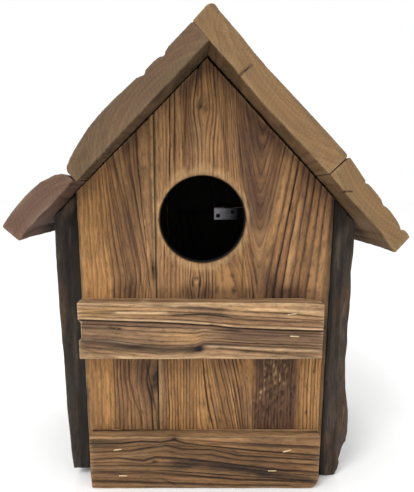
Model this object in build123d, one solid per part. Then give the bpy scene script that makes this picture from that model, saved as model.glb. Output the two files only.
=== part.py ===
from build123d import *
import math
import os

# A gabled wooden birdhouse: planks nailed together, with a clean-out flap at the back.
# Millimetres. +X is to the right seen from the front, +Y runs to the back, +Z is up.
# The origin is at the middle of the whole object's footprint, on the surface it stands on.

# --- Driving dimensions -------------------------------------------------------------------
TOTAL_HALF_WIDTH = 121.5       # middle to the roof's eave tips
ROOF_HALF_DEPTH = 107.0        # middle to the roof's front and rear ends
ROOF_OVERHANG = 33.0           # roof past the outer face of the front boards
PANEL_HALF_WIDTH = 84.0        # front and back walls
PANEL_THICK = 16.0
HOUSE_DEPTH = 148.0            # outer face of the front wall to outer face of the back wall
SEAM_X = -33.0                 # joint between the narrow and the wide board of a wall
APEX = (1.2, 288.0)            # where the undersides of the two roof slopes meet
LEFT_SLOPE = math.radians(43.67)
RIGHT_SLOPE = math.radians(45.67)
ENTRANCE_RADIUS = 28.5         # 57 mm hole saw
ENTRANCE_CENTRE = (-2.0, 188.3)
SIDE_SETBACK = 4.0             # side boards' front edges behind the front wall's face
RIGHT_SIDE_GAP = 0.6           # slit between the front wall and the right side board
FLOOR_HEIGHT = (12.0, 26.0)    # underside and top of the floor board
UPPER_BATTEN_THICK = 15.0
LOWER_BATTEN_THICK = 12.5
BACK_BATTEN_THICK = 12.0
BACK_BATTEN_TOP = 40.0
BACK_BATTEN_HALF_LENGTH = 80.0
WINDOW_X = (-24.0, 67.0)       # clean-out window in the wide back board
WINDOW_Z = (60.0, 188.0)
NOTCH_TOP = 196.3              # notch in the window's top edge that the hinge sits in
NOTCH_MARGIN = 1.1             # notch past each end of the hinge
FLAP_X = (-33.0, 76.0)         # flap that covers the window
FLAP_Z = (42.0, 192.2)
FLAP_GAP = 0.3                 # flap's inner face to the back wall
FLAP_THICK = 11.7
HINGE_X = 23.4                 # middle of the hinge
HINGE_WIDTH = 26.8
HINGE_LEAF_DEPTH = 13.0
HINGE_LEAF_THICK = 0.9
HINGE_OFFSET = 1.8             # pin axis to each leaf's wood side
KNUCKLE_RADIUS = 1.5
KNUCKLE_GAP = 0.2
PIN_RADIUS = 0.8
RUNNING_CLEARANCE = 0.05
BUTTON_CENTRE = (23.4, 27.0)   # turn button's pivot
BUTTON_LENGTH = 48.0
BUTTON_WIDTH = 12.0
BUTTON_THICK = 6.0
BUTTON_SCREW_RADIUS = 2.0
WASHER_THICK = 0.8
NAIL_LENGTH = 38.0
NAIL_RADIUS = 1.0
NAIL_HEAD_RADIUS = 2.3
NAIL_HEAD_THICK = 1.0
HEAD_SINK = 1.4                # nail heads below the wood's surface
STAPLE_CROWN = 6.0
STAPLE_LEG = 25.0
STAPLE_WIRE = (1.2, 0.6)       # width and thickness of the flat wire

# --- Planes worked out from them ----------------------------------------------------------
FRONT_Y = ROOF_OVERHANG - ROOF_HALF_DEPTH
FRONT_INNER_Y = FRONT_Y + PANEL_THICK
BACK_Y = FRONT_Y + HOUSE_DEPTH
BACK_INNER_Y = BACK_Y - PANEL_THICK
RIGHT_SIDE_X = PANEL_HALF_WIDTH + RIGHT_SIDE_GAP
FLAP_INNER_Y = BACK_Y + FLAP_GAP
HINGE_Y = FLAP_INNER_Y - HINGE_OFFSET
HINGE_Z = NOTCH_TOP - HINGE_OFFSET
FRONT_EDGE_Y = FRONT_Y + PANEL_THICK / 2
BACK_EDGE_Y = BACK_Y - PANEL_THICK / 2

# Outer faces of the side boards, live edge and all, as (z, x) from the bottom up.
LEFT_SIDE_OUTER = [(8.4, -97.4), (17.5, -98.2), (53.1, -99.5), (97.8, -100.0), (141.6, -100.9)]
RIGHT_SIDE_OUTER = [
    (0.6, 97.0),
    (13.5, 100.0),
    (23.6, 101.0),
    (33.3, 104.7),
    (56.9, 103.9),
    (76.0, 100.8),
    (97.8, 99.4),
    (151.7, 100.2),
]


def slope_z(x):
    """Height of the roof's underside above a point of the width."""
    if x < APEX[0]:
        return APEX[1] - (APEX[0] - x) * math.tan(LEFT_SLOPE)
    return APEX[1] - (x - APEX[0]) * math.tan(RIGHT_SLOPE)


def on_slope(side, along, height):
    """(x, z) of a point given along the slope from the apex and square to its underside."""
    slope = LEFT_SLOPE if side < 0 else RIGHT_SLOPE
    x = APEX[0] + side * (along * math.cos(slope) + height * math.sin(slope))
    z = APEX[1] - along * math.sin(slope) + height * math.cos(slope)
    return x, z


def prism(outline, y_front, y_back):
    """Board whose front view is the closed outline of (x, z) points."""
    points = [(x, y_front, z) for x, z in outline]
    face = make_face(Polyline(*points, close=True))
    return extrude(face, amount=y_back - y_front, dir=(0, 1, 0))


def block(x, y, z):
    """Box given by its (low, high) pairs."""
    centre = [(pair[0] + pair[1]) / 2 for pair in (x, y, z)]
    size = [pair[1] - pair[0] for pair in (x, y, z)]
    return Pos(*centre) * Box(*size)


def rod(start, direction, radius, length):
    """Round bar from a point along a direction."""
    bar = Cylinder(radius, length, align=(Align.CENTER, Align.CENTER, Align.MIN))
    return Plane(origin=start, z_dir=direction) * bar


def cone(start, direction, first_radius, last_radius, length):
    shape = Cone(first_radius, last_radius, length, align=(Align.CENTER, Align.CENTER, Align.MIN))
    return Plane(origin=start, z_dir=direction) * shape


def moved_along(point, direction, distance):
    return tuple(p + d * distance for p, d in zip(point, direction))


def outer_x(profile, z):
    """x of a side board's outer face at height z."""
    for (z0, x0), (z1, x1) in zip(profile, profile[1:]):
        if z <= z1:
            return x0 + (x1 - x0) * (z - z0) / (z1 - z0)
    return profile[-1][1]


def cut(board, fasteners):
    """Board with a hole or a groove for each fastener that goes through it."""
    for group in fasteners:
        board = board - group
    return board


# --- Fasteners ----------------------------------------------------------------------------
def nail(head_top, direction):
    """Round nail from the top of its head into the wood."""
    point = 3.0
    shank = NAIL_LENGTH - NAIL_HEAD_THICK - point
    under_head = moved_along(head_top, direction, NAIL_HEAD_THICK)
    shank_end = moved_along(under_head, direction, shank)
    solid = rod(head_top, direction, NAIL_HEAD_RADIUS, NAIL_HEAD_THICK)
    solid += rod(under_head, direction, NAIL_RADIUS, shank)
    solid += cone(shank_end, direction, NAIL_RADIUS, 0.15, point)
    return solid


def nail_group(nails):
    return Compound(children=[nail(top, direction) for top, direction in nails])


def staple(x, z, tilt, sink, face_y, inward):
    """Flat-wire staple whose crown is sunk in a batten's face; inward is 1 or -1 along Y."""
    width, thick = STAPLE_WIRE
    half = STAPLE_CROWN / 2
    crown = Box(STAPLE_CROWN, thick, width, align=(Align.CENTER, Align.MIN, Align.CENTER))
    leg = Box(thick, STAPLE_LEG, width, align=(Align.CENTER, Align.MIN, Align.CENTER))
    solid = crown
    for side in (-1, 1):
        solid += Pos(side * (half - thick / 2), 0, 0) * leg
    if inward < 0:
        solid = Rot(0, 0, 180) * solid
    return Pos(x, face_y + inward * sink, z) * Rot(0, -tilt, 0) * solid


def staple_group(places, face_y, inward=1):
    """Staples of one batten, each given as (x, z, tilt in degrees, depth of the crown)."""
    return Compound(children=[staple(*place, face_y, inward) for place in places])


def wood_screw(head_top, direction, head_radius, head_depth, shank_radius, length):
    """Countersunk screw from the top of its head into the wood."""
    under_head = moved_along(head_top, direction, head_depth)
    solid = cone(head_top, direction, head_radius, shank_radius, head_depth)
    solid += rod(under_head, direction, shank_radius, length - head_depth)
    return solid


def roof_nails():
    """Two nails of each roof board into the front wall and two into the back wall."""
    places = [
        (-1, 30.2, 13.0),
        (-1, 88.7, 12.5),
        (-1, 121.0, 11.2),
        (-1, 137.1, 13.0),
        (1, 26.2, 13.1),
        (1, 80.7, 14.3),
        (1, 112.9, 14.0),
        (1, 131.1, 12.4),
    ]
    nails = []
    for side, along, top in places:
        slope = LEFT_SLOPE if side < 0 else RIGHT_SLOPE
        direction = (-side * math.sin(slope), 0, -math.cos(slope))
        x, z = on_slope(side, along, top - HEAD_SINK)
        for y in (FRONT_EDGE_Y, BACK_EDGE_Y):
            nails.append(((x, y, z), direction))
    return nail_group(nails)


def side_nails():
    """Nails of the side boards into the walls' edges and the floor's ends."""
    floor_z = sum(FLOOR_HEIGHT) / 2
    places = [(y, z) for y in (FRONT_EDGE_Y, BACK_EDGE_Y) for z in (70.0, 150.0)]
    places += [(-20.0, floor_z), (22.0, floor_z)]
    nails = []
    for side, profile in ((-1, LEFT_SIDE_OUTER), (1, RIGHT_SIDE_OUTER)):
        for y, z in places:
            x = outer_x(profile, z) - side * HEAD_SINK
            nails.append(((x, y, z), (-side, 0, 0)))
    return nail_group(nails)


def floor_nails():
    """Nails of the front and back walls into the floor's edges, hidden by the battens."""
    floor_z = sum(FLOOR_HEIGHT) / 2
    nails = []
    for face_y, inward in ((FRONT_Y, 1), (BACK_Y, -1)):
        for x in (-58.0, -5.0, 66.0):
            nails.append(((x, face_y + inward * HEAD_SINK, floor_z), (0, inward, 0)))
    return nail_group(nails)


# --- Walls, floor and battens -------------------------------------------------------------
def narrow_wall_board(y_front):
    left = -PANEL_HALF_WIDTH
    outline = [(left, 0), (SEAM_X, 0), (SEAM_X, slope_z(SEAM_X)), (left, slope_z(left))]
    return prism(outline, y_front, y_front + PANEL_THICK)


def wide_wall_board(y_front):
    right = PANEL_HALF_WIDTH
    outline = [(SEAM_X, 0), (right, 0), (right, slope_z(right)), APEX, (SEAM_X, slope_z(SEAM_X))]
    return prism(outline, y_front, y_front + PANEL_THICK)


def side_board(side, profile, inner_x, bottom):
    """Side board between its flat inner face and its live outer face, bevelled under the roof."""
    top_x = profile[-1][1] - side * 1.0
    outline = [(inner_x, bottom)]
    outline += [(x, z) for z, x in profile]
    outline += [(top_x, slope_z(top_x)), (inner_x, slope_z(inner_x))]
    return prism(outline, FRONT_Y + SIDE_SETBACK, BACK_Y)


def upper_batten():
    """Batten under the entrance, with a shallow notch broken out of its left end."""
    outline = [
        (-82.6, 97.5),
        (75.9, 97.5),
        (77.7, 99.6),
        (77.7, 132.6),
        (74.6, 136.2),
        (-82.4, 136.2),
        (-83.8, 134.8),
        (-83.8, 124.5),
        (-82.0, 122.7),
        (-82.0, 111.7),
        (-83.8, 109.8),
        (-83.8, 98.7),
    ]
    return prism(outline, FRONT_Y - UPPER_BATTEN_THICK, FRONT_Y)


def lower_batten():
    """Batten along the foot of the front wall; one lower corner is worn round."""
    left, right, top, corner = -80.8, 80.4, 40.3, 7.0
    board = block((left, right), (FRONT_Y - LOWER_BATTEN_THICK, FRONT_Y), (0, top))
    edges = board.edges().filter_by(Axis.Y).sort_by(Axis.X)[-2:].sort_by(Axis.Z)
    return fillet(edges[0], corner)


def back_batten():
    half = BACK_BATTEN_HALF_LENGTH
    return block((-half, half), (BACK_Y, BACK_Y + BACK_BATTEN_THICK), (0, BACK_BATTEN_TOP))


# --- Roof ---------------------------------------------------------------------------------
def roof_board(side, profile):
    """Roof board from its end view, given along the slope and square to its underside."""
    outline = [on_slope(side, along, height) for along, height in profile]
    return prism(outline, -ROOF_HALF_DEPTH, ROOF_HALF_DEPTH)


def eave_along(side, height):
    """Distance down the slope at which a point of that height is at the total half width."""
    slope = LEFT_SLOPE if side < 0 else RIGHT_SLOPE
    reach = TOTAL_HALF_WIDTH - side * APEX[0]
    return (reach - height * math.sin(slope)) / math.cos(slope)


def roof_left_upper():
    """Its upper end leans against the underside of the right-hand board."""
    lean = math.tan(math.pi / 2 - LEFT_SLOPE - RIGHT_SLOPE)
    thick = 13.0
    profile = [
        (0, 0),
        (lean * thick, thick),
        (20.7, 12.9),
        (23.4, 11.2),
        (27.2, 13.1),
        (35.8, 13.3),
        (38.9, 11.7),
        (43.0, 13.8),
        (68.3, 14.7),
        (80.7, 14.3),
        (95.8, 11.3),
        (105.5, 8.8),
        (108.1, 4.4),
        (108.1, 0),
    ]
    return roof_board(-1, profile)


def roof_left_lower():
    tip = 11.0
    profile = [
        (108.6, 0),
        (109.3, 3.6),
        (113.5, 8.4),
        (120.5, 11.3),
        (127.0, 12.8),
        (139.1, 13.1),
        (153.3, 12.2),
        (eave_along(-1, tip), tip),
        (158.7, 1.0),
        (157.5, -1.8),
        (150.2, 0),
    ]
    return roof_board(-1, profile)


def roof_right_upper():
    """Laps over the left-hand boards at the ridge."""
    profile = [
        (-12.9, 0),
        (-13.1, 11.5),
        (-11.6, 14.1),
        (-9.1, 15.0),
        (16.1, 13.4),
        (30.2, 13.0),
        (60.5, 14.1),
        (98.8, 14.8),
        (100.5, 13.8),
        (100.2, 0),
    ]
    return roof_board(1, profile)


def roof_right_lower():
    tip = 10.5
    profile = [
        (100.8, 0),
        (101.4, 15.0),
        (111.4, 14.4),
        (119.5, 12.7),
        (125.5, 13.3),
        (134.4, 12.1),
        (153.3, 11.4),
        (eave_along(1, tip), tip),
        (162.1, 4.5),
        (160.9, -1.6),
        (153.3, -1.0),
        (147.2, 0),
    ]
    return roof_board(1, profile)


# --- Clean-out flap, its hinge and its turn button ------------------------------------------
def hinge_knuckles():
    """(low x, high x) of the three knuckles, from left to right."""
    left = HINGE_X - HINGE_WIDTH / 2
    pitch = (HINGE_WIDTH + KNUCKLE_GAP) / 3
    return [(left + i * pitch, left + (i + 1) * pitch - KNUCKLE_GAP) for i in range(3)]


def knuckle(span):
    start = (span[0], HINGE_Y, HINGE_Z)
    return rod(start, (1, 0, 0), KNUCKLE_RADIUS, span[1] - span[0])


def pin_bore():
    start = (HINGE_X - HINGE_WIDTH / 2, HINGE_Y, HINGE_Z)
    return rod(start, (1, 0, 0), PIN_RADIUS + RUNNING_CLEARANCE, HINGE_WIDTH)


def hinge_fixed_leaf():
    """Leaf under the top of the window's notch, with the two outer knuckles."""
    left, middle, right = hinge_knuckles()
    wood_side = HINGE_Z + HINGE_OFFSET
    height = (wood_side - HINGE_LEAF_THICK, wood_side)
    inner_end = HINGE_Y - HINGE_LEAF_DEPTH
    neck = 0.5
    clear = KNUCKLE_RADIUS + 0.35
    leaf = block((left[0], right[1]), (inner_end, HINGE_Y - clear), height)
    for span in (left, right):
        leaf += block(span, (HINGE_Y - clear, HINGE_Y - neck), height)
        leaf += knuckle(span)
    return leaf - pin_bore()


def hinge_flap_leaf():
    """Leaf on the flap's inner face, with the middle knuckle."""
    left, middle, right = hinge_knuckles()
    depth = (FLAP_INNER_Y - HINGE_LEAF_THICK, FLAP_INNER_Y)
    lower_end = HINGE_Z - HINGE_LEAF_DEPTH
    neck = 0.5
    clear = KNUCKLE_RADIUS + 0.35
    leaf = block((left[0], right[1]), depth, (lower_end, HINGE_Z - clear))
    leaf += block(middle, depth, (HINGE_Z - clear, HINGE_Z - neck))
    leaf += knuckle(middle)
    return leaf - pin_bore()


def hinge_pin():
    """Pin with a peened head at each end."""
    head_radius, head_thick = 1.3, 0.6
    left = HINGE_X - HINGE_WIDTH / 2
    right = HINGE_X + HINGE_WIDTH / 2
    pin = rod((left, HINGE_Y, HINGE_Z), (1, 0, 0), PIN_RADIUS, HINGE_WIDTH)
    pin += rod((left - head_thick, HINGE_Y, HINGE_Z), (1, 0, 0), head_radius, head_thick)
    pin += rod((right, HINGE_Y, HINGE_Z), (1, 0, 0), head_radius, head_thick)
    return pin


def leaf_screw(head_top, direction):
    return wood_screw(head_top, direction, 2.0, HINGE_LEAF_THICK, 1.1, 9.0)


def hinge_fixed_screws():
    leaf_face = HINGE_Z + HINGE_OFFSET - HINGE_LEAF_THICK
    y = HINGE_Y - 8.0
    return Compound(children=[leaf_screw((x, y, leaf_face), (0, 0, 1)) for x in (16.0, 31.0)])


def hinge_flap_screws():
    """The two screws sit at different heights on the leaf."""
    leaf_face = FLAP_INNER_Y - HINGE_LEAF_THICK
    places = ((13.7, 185.2), (27.4, 188.7))
    return Compound(children=[leaf_screw((x, leaf_face, z), (0, 1, 0)) for x, z in places])


def turn_button_washer():
    x, z = BUTTON_CENTRE
    face_y = BACK_Y + BACK_BATTEN_THICK
    ring = rod((x, face_y, z), (0, 1, 0), 5.0, WASHER_THICK)
    return ring - rod((x, face_y, z), (0, 1, 0), BUTTON_SCREW_RADIUS + RUNNING_CLEARANCE, WASHER_THICK)


def button_inner_y():
    return BACK_Y + BACK_BATTEN_THICK + WASHER_THICK + 0.1


def turn_button():
    """Round-ended wooden bar, lying level when the flap is free."""
    x, z = BUTTON_CENTRE
    inner = button_inner_y()
    outline = Plane(origin=(x, inner, z), x_dir=(1, 0, 0), z_dir=(0, 1, 0)) * SlotOverall(
        BUTTON_LENGTH, BUTTON_WIDTH
    )
    bar = extrude(outline, amount=BUTTON_THICK, dir=(0, 1, 0))
    bar = chamfer(bar.faces().sort_by(Axis.Y)[-1].edges(), 0.8)
    return bar - rod((x, inner, z), (0, 1, 0), BUTTON_SCREW_RADIUS + RUNNING_CLEARANCE, BUTTON_THICK)


def turn_button_screw():
    """Round-headed screw that the button turns on."""
    x, z = BUTTON_CENTRE
    head_radius, head_height, length = 4.2, 2.4, 27.0
    under_head = button_inner_y() + BUTTON_THICK + 0.1
    screw = rod((x, under_head, z), (0, -1, 0), BUTTON_SCREW_RADIUS, length)
    head = rod((x, under_head, z), (0, 1, 0), head_radius, head_height)
    head = fillet(head.faces().sort_by(Axis.Y)[-1].edges(), 2.0)
    return screw + head


# --- The whole object -----------------------------------------------------------------------
def build_nodes():
    """Every separate piece of the birdhouse, by name."""
    nodes = {
        "roof_nails": roof_nails(),
        "side_nails": side_nails(),
        "floor_nails": floor_nails(),
        "upper_batten_staples": staple_group(
            [(56.5, 128.4, 8, 0.1), (58.7, 113.4, -3, 0.2), (-60.9, 129.5, -6, 0.9), (-59.1, 118.6, 12, 0.9)],
            FRONT_Y - UPPER_BATTEN_THICK,
        ),
        "lower_batten_staples": staple_group(
            [(-61.1, 30.2, 8, 0.1), (-58.0, 10.0, 0, 0.1), (57.3, 29.4, 15, 0.2), (47.4, 14.1, 0, 0.1)],
            FRONT_Y - LOWER_BATTEN_THICK,
        ),
        "back_batten_staples": staple_group(
            [(-62.0, 29.0, 5, 0.1), (-60.0, 11.0, -4, 0.1), (58.0, 30.0, 0, 0.1), (61.0, 12.0, 9, 0.1)],
            BACK_Y + BACK_BATTEN_THICK,
            inward=-1,
        ),
        "hinge_fixed_screws": hinge_fixed_screws(),
        "hinge_flap_screws": hinge_flap_screws(),
        "hinge_pin": hinge_pin(),
        "turn_button_screw": turn_button_screw(),
        "turn_button_washer": turn_button_washer(),
        "turn_button": turn_button(),
    }
    fasteners = [piece for name, piece in nodes.items() if "nails" in name or "staples" in name]
    fasteners += [nodes["hinge_fixed_screws"], nodes["turn_button_screw"]]

    entrance_x, entrance_z = ENTRANCE_CENTRE
    entrance = rod((entrance_x, FRONT_Y, entrance_z), (0, 1, 0), ENTRANCE_RADIUS, PANEL_THICK)
    half_notch = HINGE_WIDTH / 2 + NOTCH_MARGIN
    notch_x = (HINGE_X - half_notch, HINGE_X + half_notch)
    window = block(WINDOW_X, (BACK_INNER_Y, BACK_Y), WINDOW_Z)
    window += block(notch_x, (BACK_INNER_Y, BACK_Y), (WINDOW_Z[0], NOTCH_TOP))
    boards = {
        "front_narrow_board": narrow_wall_board(FRONT_Y),
        "front_wide_board": wide_wall_board(FRONT_Y) - entrance,
        "back_narrow_board": narrow_wall_board(BACK_INNER_Y),
        "back_wide_board": wide_wall_board(BACK_INNER_Y) - window,
        "left_side_board": side_board(-1, LEFT_SIDE_OUTER, -PANEL_HALF_WIDTH, 8.4),
        "right_side_board": side_board(1, RIGHT_SIDE_OUTER, RIGHT_SIDE_X, 0.6),
        "floor_board": block(
            (-PANEL_HALF_WIDTH, RIGHT_SIDE_X), (FRONT_INNER_Y, BACK_INNER_Y), FLOOR_HEIGHT
        ),
        "upper_batten": upper_batten(),
        "lower_batten": lower_batten(),
        "back_batten": back_batten(),
        "roof_left_upper": roof_left_upper(),
        "roof_left_lower": roof_left_lower(),
        "roof_right_upper": roof_right_upper(),
        "roof_right_lower": roof_right_lower(),
    }
    for name, board in boards.items():
        nodes[name] = cut(board, fasteners)

    flap = block(FLAP_X, (FLAP_INNER_Y, FLAP_INNER_Y + FLAP_THICK), FLAP_Z)
    nodes["cleanout_flap"] = flap - nodes["hinge_flap_screws"]
    nodes["hinge_fixed_leaf"] = hinge_fixed_leaf() - nodes["hinge_fixed_screws"]
    nodes["hinge_flap_leaf"] = hinge_flap_leaf() - nodes["hinge_flap_screws"]
    return nodes


os.makedirs("parts", exist_ok=True)
for node_name, node in build_nodes().items():
    export_step(node, f"parts/{node_name}.step")
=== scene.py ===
import math

import bpy
import numpy as np
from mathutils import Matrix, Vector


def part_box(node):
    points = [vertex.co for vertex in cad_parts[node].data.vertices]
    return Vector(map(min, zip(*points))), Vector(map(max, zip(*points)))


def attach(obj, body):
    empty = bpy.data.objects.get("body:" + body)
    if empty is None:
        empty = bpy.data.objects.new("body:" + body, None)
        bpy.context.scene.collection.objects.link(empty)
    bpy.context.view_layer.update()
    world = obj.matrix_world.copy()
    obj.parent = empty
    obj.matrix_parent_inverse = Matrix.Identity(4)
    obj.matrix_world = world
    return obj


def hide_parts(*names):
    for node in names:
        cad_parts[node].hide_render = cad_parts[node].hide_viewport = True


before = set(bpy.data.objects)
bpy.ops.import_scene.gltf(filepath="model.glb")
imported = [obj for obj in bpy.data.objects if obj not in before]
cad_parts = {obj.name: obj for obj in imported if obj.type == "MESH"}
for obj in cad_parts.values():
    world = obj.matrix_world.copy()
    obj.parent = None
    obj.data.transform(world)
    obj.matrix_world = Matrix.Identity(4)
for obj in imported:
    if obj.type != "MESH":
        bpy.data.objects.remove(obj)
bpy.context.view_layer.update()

# A rustic birdhouse of old planks. Lengths are millimetres in the frame of the CAD model until a
# mesh is made. x is measured to the right, z up from the ground, and y backwards.

MM = 0.001


def node_box(node):
    """Lowest and highest corner of a CAD node in millimetres."""
    low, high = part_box(node)
    return np.array(low) / MM, np.array(high) / MM


# --- Places taken from the frame ------------------------------------------------------------
WALL_LOW, WALL_HIGH = node_box("front_wide_board")
FRONT_Y = WALL_LOW[1]
WALL_THICK = WALL_HIGH[1] - WALL_LOW[1]
FRONT_INNER_Y = WALL_HIGH[1]
BACK_INNER_Y = node_box("back_wide_board")[0][1]
FLOOR_TOP = node_box("floor_board")[1][2]
APEX_X, APEX_Z = 1.2, WALL_HIGH[2]
LEFT_SLOPE = math.radians(43.67)
RIGHT_SLOPE = math.radians(45.67)
HOLE_X, HOLE_Z, HOLE_RADIUS = -2.0, 188.3, 28.5
WINDOW_X = (-24.0, 67.0)
WINDOW_Z = (60.0, 188.0)
NOTCH_X = (8.9, 37.9)
NOTCH_TOP = 196.3
NARROW_EDGE = node_box("front_narrow_board")[0][0]
ROOF_GAP = (0.5, 1.5)  # dark slit between the walls' sloping edges and the roof, left and right


def slope_z(x):
    """Height of the roof's underside over x."""
    left = APEX_Z - (APEX_X - x) * math.tan(LEFT_SLOPE)
    right = APEX_Z - (x - APEX_X) * math.tan(RIGHT_SLOPE)
    return np.minimum(left, right)


# --- Repeatable noise and soft masks ----------------------------------------------------------
def lattice(i, j, k, seed):
    """Repeatable value from -1 to 1 for whole-number grid points."""
    n = i * 374761393 + j * 668265263 + k * 2147483647 + seed * 1274126177
    n = (n ^ (n >> 13)) & 0x7FFFFFFF
    n = (n * 1103515245 + 12345) & 0x7FFFFFFF
    n = (n ^ (n >> 11)) * 69069 & 0x7FFFFFFF
    return n / 0x3FFFFFFF - 1.0


def noise(x, y, z, size, seed, octaves=1):
    """Smooth noise from -1 to 1 whose features have the given size along x, y and z."""
    q = np.stack(np.broadcast_arrays(x, y, z), 1) / np.array(size, float) + 1000.0
    total = 0.0
    weight = 1.0
    weights = 0.0
    for octave in range(octaves):
        cell = np.floor(q).astype(np.int64)
        f = q - cell
        f = f * f * (3 - 2 * f)
        value = 0.0
        for corner in range(8):
            step = np.array([corner & 1, corner >> 1 & 1, corner >> 2 & 1])
            share = np.prod(np.where(step, f, 1 - f), axis=1)
            c = cell + step
            value += share * lattice(c[:, 0], c[:, 1], c[:, 2], seed + 17 * octave)
        total += weight * value
        weights += weight
        weight *= 0.5
        q = q * 2.03
    return total / weights


def rise(t, low, high):
    """0 below low, 1 above high, smooth between; low above high turns it round."""
    f = np.clip((t - low) / (high - low), 0, 1)
    return f * f * (3 - 2 * f)


def band(t, low, high, soft):
    return rise(t, low - soft, low + soft) * rise(t, high + soft, high - soft)


def spot(x, z, cx, cz, rx, rz):
    """Soft oval mark."""
    return np.exp(-(((x - cx) / rx) ** 2) - ((z - cz) / rz) ** 2)


def spots(x, z, marks):
    """Sum of soft oval marks given as (strength, centre x, centre z, half width, half height)."""
    return sum(strength * spot(x, z, *place) for strength, *place in marks)


def stroke(along, across, route, width, fade=4.0):
    """Thin mark along a route of (along, across) points, fading at its two ends."""
    middle = np.interp(along, *zip(*route))
    on = band(along, route[0][0], route[-1][0], fade)
    return np.exp(-(((across - middle) / width) ** 2)) * on


def strokes(along, across, marks):
    """Sum of strokes given as (strength, width, route)."""
    return sum(strength * stroke(along, across, route, width) for strength, width, route in marks)


def bow(across, along, knots):
    """Grain coordinate that bows round knots: (across, along, half width, half length, strength)."""
    bent = across.copy()
    for cx, cz, rx, rz, strength in knots:
        offset = across - cx
        bent -= strength * offset * spot(across, along, cx, cz, rx, rz)
    return bent


def between_routes(along, across, routes):
    """Grain coordinate that is constant on each route, given as (value, its (along, across) points)."""
    lines = [np.interp(along, *zip(*points)) for _, points in routes]
    value = routes[0][0] + np.minimum(across - lines[0], 0)
    for i in range(len(routes) - 1):
        share = np.clip((across - lines[i]) / np.maximum(lines[i + 1] - lines[i], 0.3), 0, 1)
        value += share * (routes[i + 1][0] - routes[i][0])
    return value + np.maximum(across - lines[-1], 0)


# --- Meshes -----------------------------------------------------------------------------------
def grid_lines(length, step, edges=(0.3, 0.7, 1.3, 2.1), through=()):
    """Even grid lines along a side, closer together beside its two ends."""
    edges = [e for e in edges if e < length / 2]
    first = edges[-1] if edges else 0.0
    count = max(1, round((length - 2 * first) / step))
    lines = list(np.linspace(first, length - first, count + 1))
    for target in through:
        nearest = min(range(len(lines)), key=lambda i: abs(lines[i] - target))
        lines[nearest] = target
    near = [0.0] + edges[:-1]
    return np.array(near + lines + [length - e for e in reversed(near)])


def block_surface(xs, ys, zs):
    """Points and outward quads of a block's surface, with the given grid lines along each side."""
    shape = (len(xs), len(ys), len(zs))
    i, j, k = np.indices(shape)
    last = [n - 1 for n in shape]
    skin = (i % last[0] == 0) | (j % last[1] == 0) | (k % last[2] == 0)
    index = np.full(shape, -1)
    index[skin] = np.arange(skin.sum())
    points = np.stack([xs[i[skin]], ys[j[skin]], zs[k[skin]]], 1)
    sides = [
        (index[-1], False),
        (index[0], True),
        (index[:, -1], True),
        (index[:, 0], False),
        (index[:, :, -1], False),
        (index[:, :, 0], True),
    ]
    quads = []
    for grid, turned in sides:
        corners = [grid[:-1, :-1], grid[1:, :-1], grid[1:, 1:], grid[:-1, 1:]]
        if turned:
            corners.reverse()
        quads.append(np.stack([c.ravel() for c in corners], 1))
    return points, np.concatenate(quads)


def rounded(p, size, radius):
    """Block surface pulled in to rounded arrises; radius is a number for each point."""
    r = radius[:, None]
    size = np.array(size)
    inner = np.clip(p, r, size - r)
    out = p - inner
    length = np.maximum(np.linalg.norm(out, axis=1, keepdims=True), 1e-9)
    return inner + out * np.minimum(1, r / length)


def arris_distance(p, size):
    """Distance of a block's surface points to its nearest arris."""
    gap = np.sort(np.minimum(p, np.array(size) - p), axis=1)
    return gap[:, 1]


def normals_of(points, quads):
    a = points[quads[:, 2]] - points[quads[:, 0]]
    b = points[quads[:, 3]] - points[quads[:, 1]]
    face = np.cross(a, b)
    total = np.zeros_like(points)
    for corner in range(4):
        for axis in range(3):
            total[:, axis] += np.bincount(quads[:, corner], face[:, axis], len(points))
    return total / np.maximum(np.linalg.norm(total, axis=1, keepdims=True), 1e-12)


def make_object(name, points, faces, material, marks=None, smooth=True):
    """Mesh object in metres, with one named attribute for each entry of marks."""
    mesh = bpy.data.meshes.new(name)
    if isinstance(faces, np.ndarray):
        faces = faces.tolist()
    mesh.from_pydata((np.asarray(points) * MM).tolist(), [], faces)
    mesh.polygons.foreach_set("use_smooth", [smooth] * len(mesh.polygons))
    for key, values in (marks or {}).items():
        values = np.asarray(values, np.float32)
        kind = "FLOAT" if values.ndim == 1 else "FLOAT_VECTOR"
        layer = mesh.attributes.new(key, kind, "POINT")
        layer.data.foreach_set("value" if kind == "FLOAT" else "vector", values.ravel())
    mesh.materials.append(material)
    mesh.update()
    piece = bpy.data.objects.new(name, mesh)
    bpy.context.scene.collection.objects.link(piece)
    return piece


def stand_for(piece, node, body):
    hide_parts(node)
    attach(piece, body)


RIM_DEPTHS = [0.25, 0.7, 1.6, 3.5, 6.0, 8.5, 11.0, 13.5]  # rows of an opening's wall under the face


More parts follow.
